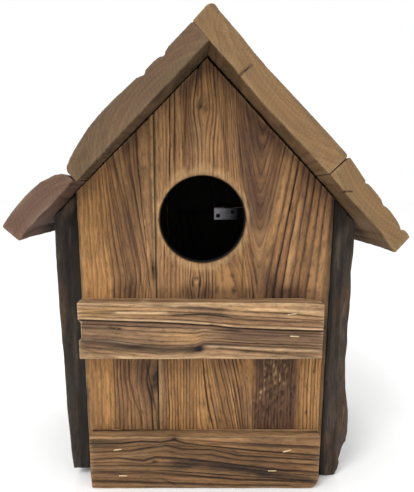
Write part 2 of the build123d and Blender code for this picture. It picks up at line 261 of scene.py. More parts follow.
def opened(points, quads, block, thick, inside, rim):
    """Cuts an opening through a board's two faces and builds the wall between them.

    inside(x, z) says which face quads go. rim(x, z, depth) gives the opening's edge for a border
    point at a depth under the nearer face. points are in the frame; block tells the faces apart.
    """
    on_face = np.zeros(len(quads), bool)
    for face_depth in (0.0, thick):
        on_face |= np.all(np.isclose(block[quads, 1], face_depth), axis=1)
    middle = points[quads].mean(1)
    gone = on_face & inside(middle[:, 0], middle[:, 2])
    removed, kept = quads[gone], quads[~gone]
    border = np.intersect1d(removed, kept)
    home = points.copy()
    x, z = rim(home[border, 0], home[border, 2], 0.0)
    points = points.copy()
    points[border, 0], points[border, 2] = x, z
    edges = np.concatenate([removed[:, [i, (i + 1) % 4]] for i in range(4)])
    key, first, count = np.unique(np.sort(edges, 1), axis=0, return_index=True, return_counts=True)
    front = [tuple(e) for e in edges[first[count == 1]] if np.isclose(block[e[0], 1], 0.0)]
    back_at = {}
    for i in border:
        if np.isclose(block[i, 1], thick):
            back_at[tuple(block[i, [0, 2]].round(4))] = i
    depths = RIM_DEPTHS + [thick - 0.7, thick - 0.25]
    columns, added = {}, []
    for i in {i for edge in front for i in edge}:
        face_y = home[i, 1]
        column = [i]
        for d in depths:
            x, z = rim(home[i, 0], home[i, 2], min(d, thick - d))
            column.append(len(points) + len(added))
            added.append([float(x), face_y + d, float(z)])
        columns[i] = column + [back_at[tuple(block[i, [0, 2]].round(4))]]
    walls = []
    for a, b in front:
        for n in range(len(depths) + 1):
            walls.append([columns[a][n], columns[b][n], columns[b][n + 1], columns[a][n + 1]])
    return np.concatenate([points, np.array(added)]), np.concatenate([kept, np.array(walls)])


def plank(node, size, steps, place, figure, material, body="house", arris=1.3, seed=1,
          through=((), (), ()), opening=None, tight=True):
    """Board that stands for a CAD node.

    size is the block's three sides and steps its grid spacing. place maps block points to the frame.
    figure(x, y, z) gives the grain's marks, and its "dent" is how far the surface sinks. A tight
    board keeps its two ends along the block's first side smooth, where it meets its neighbours.
    """
    lines = [grid_lines(s, step, through=t) for s, step, t in zip(size, steps, through)]
    block, quads = block_surface(*lines)
    wear = noise(*block.T, (9, 9, 9), seed, 2)
    radius = np.minimum(arris * (1 + 0.45 * wear), min(size) / 2.2)
    points = place(rounded(block, size, radius))
    near_arris = arris_distance(block, size)
    near_end = np.minimum(block[:, 0], size[0] - block[:, 0])
    if opening is not None:
        points, quads = opened(points, quads, block, size[1], *opening)
        far = np.full(len(points) - len(block), 9.0)
        near_arris, near_end = np.append(near_arris, far), np.append(near_end, far)
    used = np.unique(quads)
    renumber = np.full(len(points), -1)
    renumber[used] = np.arange(len(used))
    points, quads = points[used], renumber[quads]
    near_arris, near_end = near_arris[used], near_end[used]
    marks = figure(*points.T)
    dent = marks.pop("dent")
    if tight:
        dent = dent * (0.1 + 0.9 * rise(near_end, 0.0, 2.0))
    marks["edge"] = np.exp(-near_arris / 1.5)
    points = points - normals_of(points, quads) * dent[:, None]
    stand_for(make_object(node + "_wood", points, quads, material, marks), node, body)


# --- Node materials -----------------------------------------------------------------------------
def srgb(red, green, blue):
    """Colour given as 0..255 screen values, in the linear values that shaders take."""
    parts = [c / 255 for c in (red, green, blue)]
    return [c / 12.92 if c <= 0.04045 else ((c + 0.055) / 1.055) ** 2.4 for c in parts] + [1.0]


class Shader:
    """A node material and short calls that add nodes to it."""

    def __init__(self, name):
        self.material = bpy.data.materials.new(name)
        self.material.use_nodes = True
        self.tree = self.material.node_tree
        self.surface = self.tree.nodes["Principled BSDF"]

    def node(self, kind, inputs=None, **settings):
        made = self.tree.nodes.new(kind)
        for key, value in settings.items():
            setattr(made, key, value)
        for key, value in (inputs or {}).items():
            self.feed(made.inputs[key], value)
        return made

    def feed(self, socket, value):
        if isinstance(value, bpy.types.NodeSocket):
            self.tree.links.new(value, socket)
        else:
            socket.default_value = value

    def mark(self, name):
        return self.node("ShaderNodeAttribute", attribute_name=name).outputs["Fac"]

    def vector_mark(self, name):
        return self.node("ShaderNodeAttribute", attribute_name=name).outputs["Vector"]

    def position(self):
        return self.node("ShaderNodeTexCoord").outputs["Object"]

    def math(self, operation, a, b=0.0, clamp=False):
        made = self.node("ShaderNodeMath", {0: a, 1: b}, operation=operation, use_clamp=clamp)
        return made.outputs[0]

    def scaled(self, vector, factors):
        made = self.node("ShaderNodeVectorMath", {0: vector, 1: factors}, operation="MULTIPLY")
        return made.outputs[0]

    def noise(self, vector, detail=2.0, roughness=0.5):
        inputs = {"Vector": vector, "Scale": 1.0, "Detail": detail, "Roughness": roughness}
        return self.node("ShaderNodeTexNoise", inputs).outputs["Fac"]

    def chance(self, value):
        """Random number from 0 to 1 that changes with a whole number."""
        made = self.node("ShaderNodeTexWhiteNoise", None, noise_dimensions="1D")
        self.feed(made.inputs["W"], value)
        return made.outputs["Value"]

    def remap(self, value, low, high, to_low=0.0, to_high=1.0):
        inputs = {"Value": value, 1: low, 2: high, 3: to_low, 4: to_high}
        return self.node("ShaderNodeMapRange", inputs, clamp=True).outputs[0]

    def mix(self, factor, a, b, blend="MIX"):
        made = self.node("ShaderNodeMix", None, data_type="RGBA", blend_type=blend)
        for key, value in ((0, factor), (6, a), (7, b)):
            self.feed(made.inputs[key], value)
        return made.outputs[2]

    def curve(self, value, stops):
        """Grey curve through (position, value) stops."""
        made = self.node("ShaderNodeValToRGB", {0: value})
        ramp = made.color_ramp
        ramp.interpolation = "EASE"
        while len(ramp.elements) < len(stops):
            ramp.elements.new(0.5)
        for element, (at, level) in zip(ramp.elements, stops):
            element.position = at
            element.color = (level, level, level, 1)
        return made.outputs[0]

    def grey(self, value):
        return self.node("ShaderNodeCombineColor", {0: value, 1: value, 2: value}).outputs[0]

    def bump(self, height, distance, strength=1.0, normal=None):
        inputs = {"Height": height, "Distance": distance, "Strength": strength}
        made = self.node("ShaderNodeBump", inputs)
        if normal is not None:
            self.feed(made.inputs["Normal"], normal)
        return made.outputs["Normal"]


RING_PROFILE = [(0.0, 0.45), (0.09, 0.05), (0.45, 0.0), (0.68, 0.35), (0.86, 1.0), (0.95, 1.0), (1.0, 0.45)]
# Painted shade: near-black brown for faces inside the nest cavity and on the entrance's wall, where little
# light reaches.
CAVITY_SHADE_COLOUR = (30, 25, 22)
# Painted shade: dark colour that hinge parts inside the cavity fade to.
HINGE_SHADE_COLOUR = (26, 26, 32)


def wood_material(name, colours, rough=0.72, sawn=0.0, streaks=(0.58, 1.3), fleck=0.6):
    """Old softwood. Its grain follows the ring and fibre coordinates stored on the mesh. The screen
    colours are those of pale and middling wood, ring lines, stains, gold patches, cracks and wear;
    the colours for stains and cracks also carry painted shade."""
    light, mid, line, stain, gold, dark, pale = (srgb(*c) for c in colours)
    s = Shader(name)
    fibre = s.vector_mark("fibre")
    fine = s.noise(s.scaled(fibre, (0.62, 0.07, 0.62)), detail=4.0, roughness=0.75)
    flecks = s.noise(s.scaled(fibre, (0.8, 0.16, 0.8)), detail=2.0)
    medium = s.noise(s.scaled(fibre, (0.4, 0.016, 0.4)), detail=3.0)
    broad = s.noise(s.scaled(fibre, (0.15, 0.009, 0.15)), detail=2.0)
    blotch = s.noise(s.scaled(s.position(), (70.0, 70.0, 70.0)), detail=3.0)
    wobble = s.math("ADD", s.math("MULTIPLY", fine, 0.22), s.math("MULTIPLY", medium, 0.45))
    ring = s.math("ADD", s.mark("ring"), wobble)
    number = s.math("FLOOR", ring)
    late = s.curve(s.math("FRACT", ring), RING_PROFILE)
    late = s.math("MULTIPLY", late, s.remap(s.chance(number), 0.0, 1.0, 0.35, 1.1))
    late = s.math("MULTIPLY", late, s.mark("line"))
    late = s.math("MULTIPLY", late, s.remap(medium, 0.28, 0.6, 0.5, 1.05))
    tone = s.math("ADD", s.math("MULTIPLY", s.chance(s.math("ADD", number, 31.5)), 0.55),
                  s.remap(broad, 0.3, 0.7, -0.15, 0.6), clamp=True)
    colour = s.mix(tone, light, mid)
    colour = s.mix(s.math("MULTIPLY", s.mark("gold"), 0.9), colour, gold)
    stain_and_shade_share = s.math("MULTIPLY", s.mark("stain"), s.remap(medium, 0.25, 0.6, 0.6, 1.0), clamp=True)
    colour = s.mix(stain_and_shade_share, colour, stain)
    worn = s.math("MULTIPLY", s.mark("edge"), s.remap(blotch, 0.35, 0.65, 0.1, 0.8))
    colour = s.mix(s.math("MAXIMUM", s.mark("pale"), worn, clamp=True), colour, pale)
    colour = s.mix(s.math("MINIMUM", late, 1.0, clamp=True), colour, line)
    streak = s.remap(fine, 0.32, 0.68, *streaks)
    for more in (s.remap(medium, 0.3, 0.7, 0.86, 1.12), s.remap(flecks, 0.56, 0.72, 1.0, fleck)):
        streak = s.math("MULTIPLY", streak, more)
    colour = s.mix(1.0, colour, s.grey(streak), "MULTIPLY")
    colour = s.mix(s.math("MINIMUM", s.mark("dark"), 1.0, clamp=True), colour, dark)
    # Painted shade: faces marked by the shade attribute are mixed towards a near-black brown.
    colour = s.mix(s.mark("shade"), colour, srgb(*CAVITY_SHADE_COLOUR))
    s.feed(s.surface.inputs["Base Color"], colour)
    s.feed(s.surface.inputs["Roughness"], s.remap(fine, 0.2, 0.8, rough - 0.1, rough + 0.14))
    s.surface.inputs["Specular IOR Level"].default_value = 0.28
    relief = s.math("SUBTRACT", s.math("MULTIPLY", fine, 0.7), s.math("MULTIPLY", late, 0.6))
    normal = s.bump(relief, 0.0005, 0.9)
    if sawn:
        teeth = s.noise(s.scaled(s.position(), (300.0, 300.0, 1500.0)), detail=2.0)
        normal = s.bump(teeth, 0.0004, sawn, normal)
    s.feed(s.surface.inputs["Normal"], normal)
    return s.material


def metal_material(name, colour, dull, rough, shade_x=None, shade_z=None):
    """Plated or weathered steel with cloudy patches and fine scratches; shade_x and shade_z are
    where it goes from its lit colour to a painted shade along x and z."""
    s = Shader(name)
    place = s.position()
    cloud = s.noise(s.scaled(place, (220.0, 220.0, 220.0)), detail=4.0)
    scratch = s.noise(s.scaled(place, (1400.0, 90.0, 1400.0)), detail=2.0)
    tone = s.mix(s.remap(cloud, 0.35, 0.7), srgb(*colour), srgb(*dull))
    if shade_x:
        parts = s.node("ShaderNodeSeparateXYZ", {0: place})
        for axis, limits in ((0, shade_x), (2, shade_z)):
            hinge_shade = s.remap(parts.outputs[axis], limits[0] * MM, limits[1] * MM)
            tone = s.mix(hinge_shade, tone, srgb(*HINGE_SHADE_COLOUR))
    s.feed(s.surface.inputs["Base Color"], tone)
    s.feed(s.surface.inputs["Roughness"], s.remap(scratch, 0.2, 0.8, rough - 0.08, rough + 0.14))
    s.surface.inputs["Metallic"].default_value = 1.0
    s.feed(s.surface.inputs["Normal"], s.bump(scratch, 0.00004, 0.4))
    return s.material


FRONT_WOOD = wood_material("front_wood", [
    (176, 134, 90), (132, 94, 60), (48, 26, 14), (84, 58, 42), (178, 130, 76), (20, 12, 8), (192, 158, 112)])
UPPER_BATTEN_WOOD = wood_material("upper_batten_wood", [
    (180, 144, 104), (140, 106, 74), (52, 32, 20), (90, 66, 52), (184, 140, 90), (22, 14, 10),
    (208, 178, 140)])
LOWER_BATTEN_WOOD = wood_material("lower_batten_wood", [
    (152, 114, 76), (108, 78, 50), (40, 23, 13), (56, 40, 30), (152, 108, 66), (16, 10, 7), (176, 142, 102)])
SIDE_WOOD = wood_material("side_wood", [
    (74, 63, 54), (46, 38, 33), (20, 16, 13), (42, 35, 31), (86, 63, 45), (14, 11, 9), (100, 89, 76)],
    rough=0.8, streaks=(0.55, 1.35))
LEFT_ROOF_WOOD = wood_material("left_roof_wood", [
    (113, 91, 64), (89, 70, 48), (66, 47, 35), (74, 65, 53), (106, 76, 58), (36, 29, 23), (126, 104, 78)],
    sawn=0.6, streaks=(0.82, 1.14), fleck=0.88)
LOW_LEFT_ROOF_WOOD = wood_material("low_left_roof_wood", [
    (112, 86, 70), (92, 68, 53), (74, 52, 40), (76, 65, 56), (110, 77, 63), (36, 29, 24), (144, 120, 99)],
    sawn=0.6, streaks=(0.84, 1.1), fleck=0.88)
RIGHT_ROOF_WOOD = wood_material("right_roof_wood", [
    (135, 106, 70), (116, 89, 57), (91, 66, 42), (88, 74, 62), (139, 103, 70), (36, 27, 20), (148, 124, 89)],
    sawn=0.45, streaks=(0.86, 1.1), fleck=0.9)
ZINC = metal_material("zinc_steel", (200, 196, 196), (140, 136, 138), 0.42)
# The flap leaf is painted darker towards its right end and across its top, as painted shade inside the
# cavity.
HINGE_ZINC = metal_material(
    "hinge_zinc_steel", (196, 193, 198), (168, 164, 170), 0.32, (11.0, 33.0), (191.5, 192.3))
# Painted shade: the fixed hinge leaf and the pin get near-black steel, as they lie in shade inside the
# cavity.
SHADE_DARK_ZINC = metal_material("dull_zinc_steel", (40, 39, 40), (28, 27, 28), 0.65)
SCREW_STEEL = metal_material("dark_screw_steel", (58, 54, 52), (34, 31, 29), 0.5)
STAPLE_STEEL = metal_material("staple_wire", (212, 190, 150), (156, 134, 100), 0.4)
RUSTY_STEEL = metal_material("nail_steel", (96, 82, 70), (62, 48, 38), 0.6)


# --- Figure of each board: growth rings, stains, cracks and relief --------------------------------
BEHIND_BATTEN_Z = 115.0  # the wide board's figure changes here, out of sight behind the upper batten


def in_cavity(x, y, z):
    """1 on faces that close the nest cavity, 0 elsewhere."""
    # The mask marks where shade is painted inside the cavity.
    across = band(x, -84.3, 84.9, 0.15)
    along = band(y, FRONT_INNER_Y - 0.35, BACK_INNER_Y + 0.35, 0.2)
    return across * along * rise(z, FLOOR_TOP - 1.0, FLOOR_TOP - 0.2)


def ring_marks(ring_mm, width, along, depth, line, groove=0.34, **marks):
    """Marks every board has: ring phase, fibre coordinate, line strength and the relief."""
    ring = ring_mm / width
    phase = ring + 0.34 - np.floor(ring + 0.34)
    valley = np.exp(-(((phase - 0.9) / 0.1) ** 2))
    found = {
        "ring": ring,
        "fibre": np.stack([ring_mm, along, depth], 1),
        "line": np.clip(line, 0, 1.3),
    }
    for key in ("stain", "gold", "dark", "pale", "shade"):
        found[key] = np.clip(marks.get(key, 0 * ring), 0, 1)
    dent = marks.get("dent", 0) + groove * valley * found["line"]
    found["dent"] = np.maximum(dent, 0)
    return found


WALL_CHECKS = [
    (0.8, 0.5, [(140, 35.6), (160, 32.4), (185, 27.6), (205, 22.8)]),
    (0.7, 0.5, [(142, 24.8), (165, 25.2), (180, 24.4)]),
    (0.8, 0.6, [(44, 3.6), (70, 0.8), (93, -1.6)]),
    (0.9, 0.7, [(41, 16.6), (66, 10.4), (93, 4.8)]),
    (0.9, 0.6, [(40, 25.8), (58, 22.4), (77, 19.8)]),
    (0.7, 0.5, [(42, 61.6), (79, 60.6), (93, 61.2)]),
    (0.7, 0.5, [(42, 66.8), (79, 66.2), (93, 66.6)]),
    (0.6, 0.5, [(42, 77.0), (79, 76.2), (93, 76.6)]),
    (0.7, 0.6, [(222, -14.0), (245, -13.2), (268, -12.0)]),
    (0.6, 0.5, [(222, -20.6), (258, -19.6)]),
    (0.7, 0.6, [(262, -5.2), (285, -4.6)]),
    (0.6, 0.6, [(226, 14.0), (250, 10.2), (274, 6.6)]),
]


def wall_rings(x, depth, z):
    """Ring radius of the wide front board, with the coordinates of its V shapes and fanned right part."""
    upright = bow(x, z, [(-2.1, 258.6, 8.0, 15.0, 0.8), (-6.0, 146.7, 5.0, 9.0, 0.75)])
    upright += 0.7 * noise(x, depth, z, (11, 30, 46), 3, 2)
    upright += 0.3 * noise(x, depth, z, (4, 9, 14), 5)
    offset = upright - 36.0
    above = 140 + 6 * np.logaddexp(0, (z - 140) / 6) - 200
    nested = np.sqrt(offset**2 + 7.0) - above * 0.2 * rise(offset, -30, -9)
    fanned = (upright - 0.37 * above) / (1 - 0.0037 * above)
    radius = np.where(fanned > 46, 10.3 + 0.5 * (fanned - 46), nested) + 0.4 * depth
    low_lean = 0.2 * rise(upright, -9, 8) * rise(upright, 38, 22)
    radius = np.where(z < BEHIND_BATTEN_Z, 60 - upright - low_lean * (z - 66), radius)
    radius += 0.9 * noise(radius, 0, 0, (6, 1, 1), 8) * rise(offset, 10, -10)
    return radius, offset, fanned


def eaten_patch(x, depth, z):
    """Insect-eaten patch low on the wide board: its extent, its pits and its pale specks."""
    eaten = spots(x, z, [(1, 50, 80, 11, 30), (0.7, 38, 58, 14, 16), (0.6, 60, 60, 6, 26)])
    eaten = np.clip(eaten * (1.0 + 0.5 * noise(x, 0, z, (4, 5, 9), 31, 2)), 0, 1)
    eaten = eaten * rise(z, 132, 118) * rise(x, 27, 36)
    pits = 0.85 * rise(noise(x, depth, z, (1.6, 4, 2.0), 33, 2), 0.1, 0.4) * rise(eaten, 0.3, 0.7)
    specks = 0.75 * rise(noise(x, depth, z, (1.5, 3, 1.2), 35), 0.42, 0.6) * rise(eaten, 0.35, 0.7)
    specks *= rise(spots(x, z, [(1, 46, 82, 11, 14), (1, 30, 66, 9, 5)]), 0.2, 0.5)
    return eaten, pits, specks


def wall_figure(x, y, z):
    """Wide front board: upright grain, with nested V shapes right of the entrance."""
    depth = y - FRONT_Y
    radius, offset, fanned = wall_rings(x, depth, z)
    v_zone = rise(np.abs(offset), 17, 8) * rise(z, 128, 150)
    low_middle = band(x, -28, 26, 4) * rise(z, 100, 92)
    low_right = rise(x, 60, 66) * rise(z, 100, 90)
    edge = np.hypot(x - HOLE_X, z - HOLE_Z) - HOLE_RADIUS
    ragged = 2.2 + 2.4 * noise(x, 0, z, (5, 5, 5), 21, 2) + 3.2 * rise(z, 206, 220) * rise(x, 26, 10)
    ragged += 1.5 * rise(z, 170, 160)
    halo = rise(edge, ragged + 2.2, ragged - 1.2)
    eaten, pits, specks = eaten_patch(x, depth, z)
    smooth = spot(x, z, 31, 84, 7, 13)
    line = 0.85 + 0.45 * noise(radius, 0, z, (3, 1, 60), 11) + 0.4 * rise(fanned, 44, 52)
    line *= (1 - 0.35 * v_zone) * (1 + 0.35 * low_middle - 0.25 * low_right)
    line *= (1 - 0.6 * halo) * (1 - 0.6 * eaten) * (1 - 0.6 * smooth)

    slit = spots(x, z, [
        (1, -2.6, 258.4, 3.6, 0.8), (0.55, 0.6, 256.9, 3.0, 0.7), (0.5, -3.4, 261.0, 3.0, 0.6)])
    around = np.hypot(x + 6.0, (z - 146.7) * 0.9)
    nail_knot = np.exp(-(((around - 2.7) / 0.9) ** 2)) * (0.8 + 0.5 * noise(x, 0, z, (2, 2, 2), 37))
    low_knots = spots(x, z, [
        (1, 8.0, 141.5, 1.4, 3.2), (1, 19.4, 141.0, 1.6, 3.4),
        (0.8, 11.3, 46.1, 1.6, 2.2), (0.6, 35.0, 64.0, 1.4, 1.6)])
    checks = strokes(z, x, WALL_CHECKS)
    dots = spots(x, z, [(1, 71.1, 73.4, 0.9, 1.4), (1, 72.0, 53.0, 0.9, 1.6), (1, 76, 84, 0.7, 1.2)])

    stain = spots(x, z, [
        (0.55, 30, 243, 12, 20), (0.45, 33, 208, 7, 26), (0.5, 22, 224, 2.2, 22), (0.6, 64, 215, 3, 34)])
    stain += 0.75 * rise(z, 162, 140) * rise(x, 34, 44) * rise(x, 68, 58) + 0.45 * rise(z, 266, 284)
    # The band up to 15 mm under the roof's edge is painted shade under the overhang.
    stain += 0.5 * eaten + 0.5 * v_zone + 0.5 * rise(z, slope_z(x) - 15, slope_z(x) - 2)
    stain += 0.4 * noise(radius, 0, z, (4, 1, 50), 41) + 0.45 * rise(z, 146, 139)
    stain += 0.35 * rise(z, 60, 42) * rise(x, 30, 40) * rise(x, 62, 54)
    stain += 0.5 * rise(np.hypot(x + 6.0, z - 144.0), 14, 5) * rise(z, 150, 144)
    stain += -0.25 * low_middle - 0.5 * low_right
    gold = spots(x, z, [(0.8, 25, 152, 5, 16), (0.35, -8, 60, 12, 40), (0.5, 12, 150, 5, 9)]) + 0.7 * smooth
    gold += 0.35 * noise(radius, 0, z, (6, 1, 90), 43) + 0.45 * low_middle + 0.6 * low_right
    dark = 0.9 * slit + 0.75 * nail_knot + 0.72 * checks + 0.7 * pits * eaten + 0.8 * dots + 0.7 * low_knots
    dark += 0.35 * rise(edge, 0.9, 0.2) + 0.75 * rise(x, WALL_LOW[0] + 1.0, WALL_LOW[0] + 0.1)
    # Painted shade: dark band along the wide board's right edge, beside the right side board.
    dark += 0.7 * rise(x, WALL_HIGH[0] - 4.6, WALL_HIGH[0] - 1.0) * rise(depth, 3.0, 1.0)
    pale = 0.42 * halo * (0.8 + 0.5 * noise(x, 0, z, (2, 3, 2), 38, 2)) + 0.8 * specks
    pale += spots(x, z, [(0.4, -6, 146.7, 1.5, 1.5), (0.25, -4, 240, 3, 20)])
    dent = 0.08 + 0.2 * noise(x, depth, z, (10, 10, 40), 47, 2) + slit + 0.7 * nail_knot + 0.8 * checks
    dent += pits + 0.5 * eaten + 0.6 * low_knots
    dent = dent * (1 - 0.85 * rise(edge, 1.4, 0.2)) - 0.2 * specks
    # Painted shade: the cavity's faces and the entrance's wall deeper than a few mm are darkened.
    shade = np.maximum(in_cavity(x, y, z), rise(depth, 2.0, 5.5) * rise(edge, 0.6, 0.2))
    return ring_marks(radius, 2.3, z, depth, line, 0.36, stain=stain, gold=gold, dark=dark, pale=pale,
                      shade=shade, dent=dent)


NARROW_ROUTES = [
    (0, [(0, -84), (290, -84)]),
    (16, [(0, -68), (92, -68), (148, -67), (225, -70), (290, -72)]),
    (30, [(0, -55), (58, -52.6), (79, -54), (92, -54), (148, -47.3), (224, -60), (290, -68)]),
    (40, [(0, -42), (52, -46), (75, -48), (92, -47), (157, -37.6), (181, -42.2), (223, -49.3), (290, -54)]),
    (47, [(0, -36), (92, -38), (138, -36.2), (215, -43), (290, -47)]),
    (51, [(0, -33), (290, -33)]),
]
NARROW_CHECKS = [
    (0.9, 0.7, [(40, -34.0), (52, -34.6), (68, -37.4), (90, -41.0)]),
    (0.8, 0.6, [(42, -45.0), (52, -46.6), (66, -51.0), (80, -53.4), (92, -52.6)]),
    (0.7, 0.5, [(42, -52.4), (60, -52.8), (78, -56.6), (93, -57.2)]),
    (0.8, 0.6, [(142, -37.4), (157, -38.4), (181, -42.6), (205, -46.0), (223, -49.6)]),
    (0.8, 0.6, [(140, -42.0), (165, -46.0), (190, -50.6), (225, -58.6)]),
    (0.6, 0.5, [(150, -34.6), (180, -38.0), (205, -41.4)]),
    (0.5, 0.5, [(140, -50.6), (180, -56.4), (226, -63.4)]),
    (0.4, 0.5, [(140, -62.0), (180, -66.0), (216, -69.0)]),
]


def narrow_figure(x, y, z):
    """Narrow front board: a smooth golden strip, then leaning grey-brown grain and seam knots."""
    depth = y - FRONT_Y
    upright = bow(x, z, [(-34.0, 157.0, 5, 12, 0.6), (-35.5, 76.0, 8, 16, 0.8)])
    upright += 0.7 * noise(x, depth, z, (12, 30, 44), 53, 2)
    upright += 0.3 * noise(x, depth, z, (4, 9, 13), 55)
    radius = between_routes(z, upright, NARROW_ROUTES) + 0.2 * depth
    radius += 0.9 * noise(radius, 0, 0, (7, 1, 1), 58)
    golden = rise(x, -60, -68) * (1 - 0.3 * rise(z, 190, 215))
    line = (0.85 + 0.45 * noise(radius, 0, z, (4, 1, 60), 61)) * (1 - 0.55 * golden)
    hollow = spots(x, z, [(1, -35.2, 76, 2.6, 11), (0.8, -34.6, 154, 1.6, 7)])
    hollow = np.clip(hollow * (1.1 + 0.6 * noise(x, 0, z, (2, 3, 3), 63)), 0, 1)
    checks = strokes(z, x, NARROW_CHECKS)
    stain = spots(x, z, [
        (0.75, -50, 178, 9, 40), (0.55, -44, 85, 9, 16), (0.3, -40, 215, 8, 30), (0.6, -50, 140, 8, 10)])
    # The band up to 16 mm under the roof's edge is painted shade under the overhang.
    stain += 0.45 * rise(x, -80, -84) + 0.5 * rise(z, slope_z(x) - 16, slope_z(x) - 3)
    stain += 0.4 * noise(radius, 0, z, (5, 1, 60), 65) + 0.3 * rise(z, 130, 96)
    gold = 0.8 * golden + 0.3 * noise(radius, 0, z, (6, 1, 90), 67)
    dark = 0.85 * hollow + 0.75 * checks + 0.5 * spot(x, z, -53.6, 141.5, 2.2, 2.6)
    dark += 0.75 * rise(x, WALL_LOW[0] - 1.0, WALL_LOW[0] - 0.1)
    # Painted shade: dark band along the narrow board's left edge, beside the left side board.
    dark += 0.4 * rise(x, NARROW_EDGE + 1.8, NARROW_EDGE + 0.2) * rise(depth, 3.0, 1.0)
    pale = spots(x, z, [(0.9, -53.6, 140.5, 1.0, 1.0), (0.6, -51.5, 150.6, 0.8, 0.8)])
    dent = 0.08 + 0.2 * noise(x, depth, z, (10, 10, 40), 69, 2) + 1.6 * hollow + 0.8 * checks
    return ring_marks(radius, 3.0, z, depth, line, 0.36, stain=stain, gold=gold, dark=dark, pale=pale,
                      shade=in_cavity(x, y, z), dent=dent)


CRACK = [(-90, 124.6), (-54, 123.3), (-22, 122.2), (4, 120.5), (16, 119.2), (45, 117.7), (84, 116.5)]
SWOOP = [(-90, 110.6), (-67, 109.0), (-49, 106.2), (-30, 104.2), (-14, 104.4), (-6, 105.4), (-1.5, 108.4),
         (12, 108.0), (34, 106.5), (84, 104.6)]
UPPER_ROUTES = [
    (0, [(-90, 99), (-50, 96), (0, 97), (75, 94), (90, 92)]),
    (9, SWOOP),
    (25, CRACK),
    (36, [(-90, 134.6), (0, 132.4), (26, 130.2), (55, 128.7), (90, 125.6)]),
    (41, [(-90, 139), (90, 137)]),
]
UPPER_LENS = [(-22, 127.6), (-2, 128.4), (8, 127.4), (16, 125.8), (29, 124.5), (77, 122.7)]
UPPER_DARK_SWOOP = [(-82, 110.0), (-67, 108.6), (-49, 105.8), (-30, 103.8), (-12, 104.0), (-2, 105.0)]
UPPER_LINES = [
    (0.75, 0.9, [(-19, 132.9), (-2, 132.5), (15, 131.0)]),
    (0.8, 0.5, [(26, 130.2), (55, 128.7), (77, 126.3)]),
    (0.6, 0.7, [(-41, 135.0), (-23, 133.4)]),
    (0.6, 0.5, [(-83, 134.6), (-65, 133.5), (-50, 133.2)]),
    (0.6, 0.5, [(-83, 129.3), (-60, 130.2), (-46, 131.0)]),
    (0.6, 0.6, [(-1.5, 108.5), (34, 106.5), (78, 104.9)]),
    (0.7, 0.6, [(8, 104.9), (34, 103.1), (74.5, 98.6)]),
    (0.5, 0.5, [(22, 103.7), (52, 100.6)]),
    (0.5, 0.5, [(-83, 105.6), (-69, 100.8)]),
    (0.5, 0.5, [(-83, 107.4), (-49, 100.8)]),
    (0.8, 0.8, [(3, 117.4), (22, 117.3)]),
    (0.5, 0.4, [(-83, 127.0), (-50, 127.4), (-24, 126.2)]),
    (0.4, 0.4, [(32, 121.0), (77, 119.6)]),
]
UPPER_PALE_LINES = [
    (0.55, 0.7, [(-83, 126.0), (-54, 124.7), (-22, 123.5), (4, 122.0)]),
    (0.6, 0.7, [(10, 121.2), (20, 119.6), (45, 118.8), (78, 118.0)]),
    (0.5, 0.8, [(-83, 111.8), (-60, 109.6), (-45, 108.0)]),
    (0.5, 0.9, [(-60, 98.6), (-20, 99.0), (78, 98.4)]),
    (0.5, 0.7, [(0, 106.8), (34, 105.0), (78, 103.0)]),
    (0.7, 0.9, [(-42, 136.0), (-34, 134.6)]),
    (0.6, 1.2, [(-62, 129.0), (-40, 129.6), (-26, 129.4)]),
    (0.5, 0.8, [(26, 131.6), (60, 130.6), (78, 129.6)]),
]


def upper_batten_figure(x, y, z):
    """Upper batten: level grain split by one long crack, tan above it and grey-brown below."""
    depth = y - FRONT_Y
    level = z + 0.45 * noise(x, depth, z, (26, 12, 6), 73, 2) + 0.2 * noise(x, depth, z, (9, 9, 3), 74)
    radius = between_routes(x, level, UPPER_ROUTES) + 0.3 * depth
    crack = stroke(x, z, CRACK, 0.45)
    lens = stroke(x, z, UPPER_LENS, 0.5)
    pocket = spots(x, z, [(1, -4, 127.9, 13, 1.0), (0.8, 10, 126.6, 9, 1.1)])
    swoop = stroke(x, z, UPPER_DARK_SWOOP, 2.1, 3.0)
    swoop = np.minimum(1.0, 1.5 * swoop) * (0.85 + 0.4 * noise(x, 0, z, (16, 4, 1.6), 78, 2))
    knot = spot(x, z, -3.6, 104.6, 2.6, 2.2)
    others = strokes(x, z, UPPER_LINES)
    chip = spots(x, z, [(1, -62.5, 119.7, 1.8, 0.8), (1, -57, 118.4, 2.2, 0.7)])
    left_staples = spots(x, z, [(1, -59.1, 118.6, 3.2, 0.7), (0.7, -60.9, 129.5, 3.2, 0.6)])
    in_dark = rise(between_routes(x, z, [(0, SWOOP), (10, CRACK)]), 10.6, 9.6) * rise(z, 99, 108)
    in_dark *= 1 - 0.5 * rise(x, -2, 8) * rise(z, 108, 105)
    patch = spot(x, z, -14, 113.4, 15, 4.6)
    stain = 0.9 * in_dark * (1 - 0.8 * patch) * (0.8 + 0.2 * rise(x, 5, 20))
    stain += 0.3 * noise(radius, 0, x, (4, 1, 40), 77) + 0.6 * spot(x, z, 3, 131.6, 14, 2.0)
    gold = 0.8 * patch + 0.6 * band(z, 126, 133, 1.5) * rise(x, -22, -30)
    gold += 0.6 * spot(x, z, 30, 132, 22, 2.4)
    pale = strokes(x, z, UPPER_PALE_LINES)
    line = 0.75 + 0.5 * noise(radius, 0, x, (3, 1, 50), 79)
    dark = 0.95 * crack + 0.65 * lens + 0.6 * pocket + 0.8 * swoop + 0.8 * knot + 0.8 * others
    # Painted shade in the hollows over the two sunk left staples.
    dark += 0.6 * chip + 0.7 * left_staples
    dent = 0.08 + 0.2 * noise(x, depth, z, (30, 10, 8), 81, 2)
    dent += 1.6 * crack + 0.6 * lens + 0.6 * pocket + 0.6 * swoop + 0.5 * knot + 0.7 * others
    dent += 0.5 * chip + 0.9 * left_staples
    return ring_marks(radius, 2.7, x, depth, line, 0.45, stain=stain, gold=gold, dark=dark, pale=pale,
                      dent=dent)


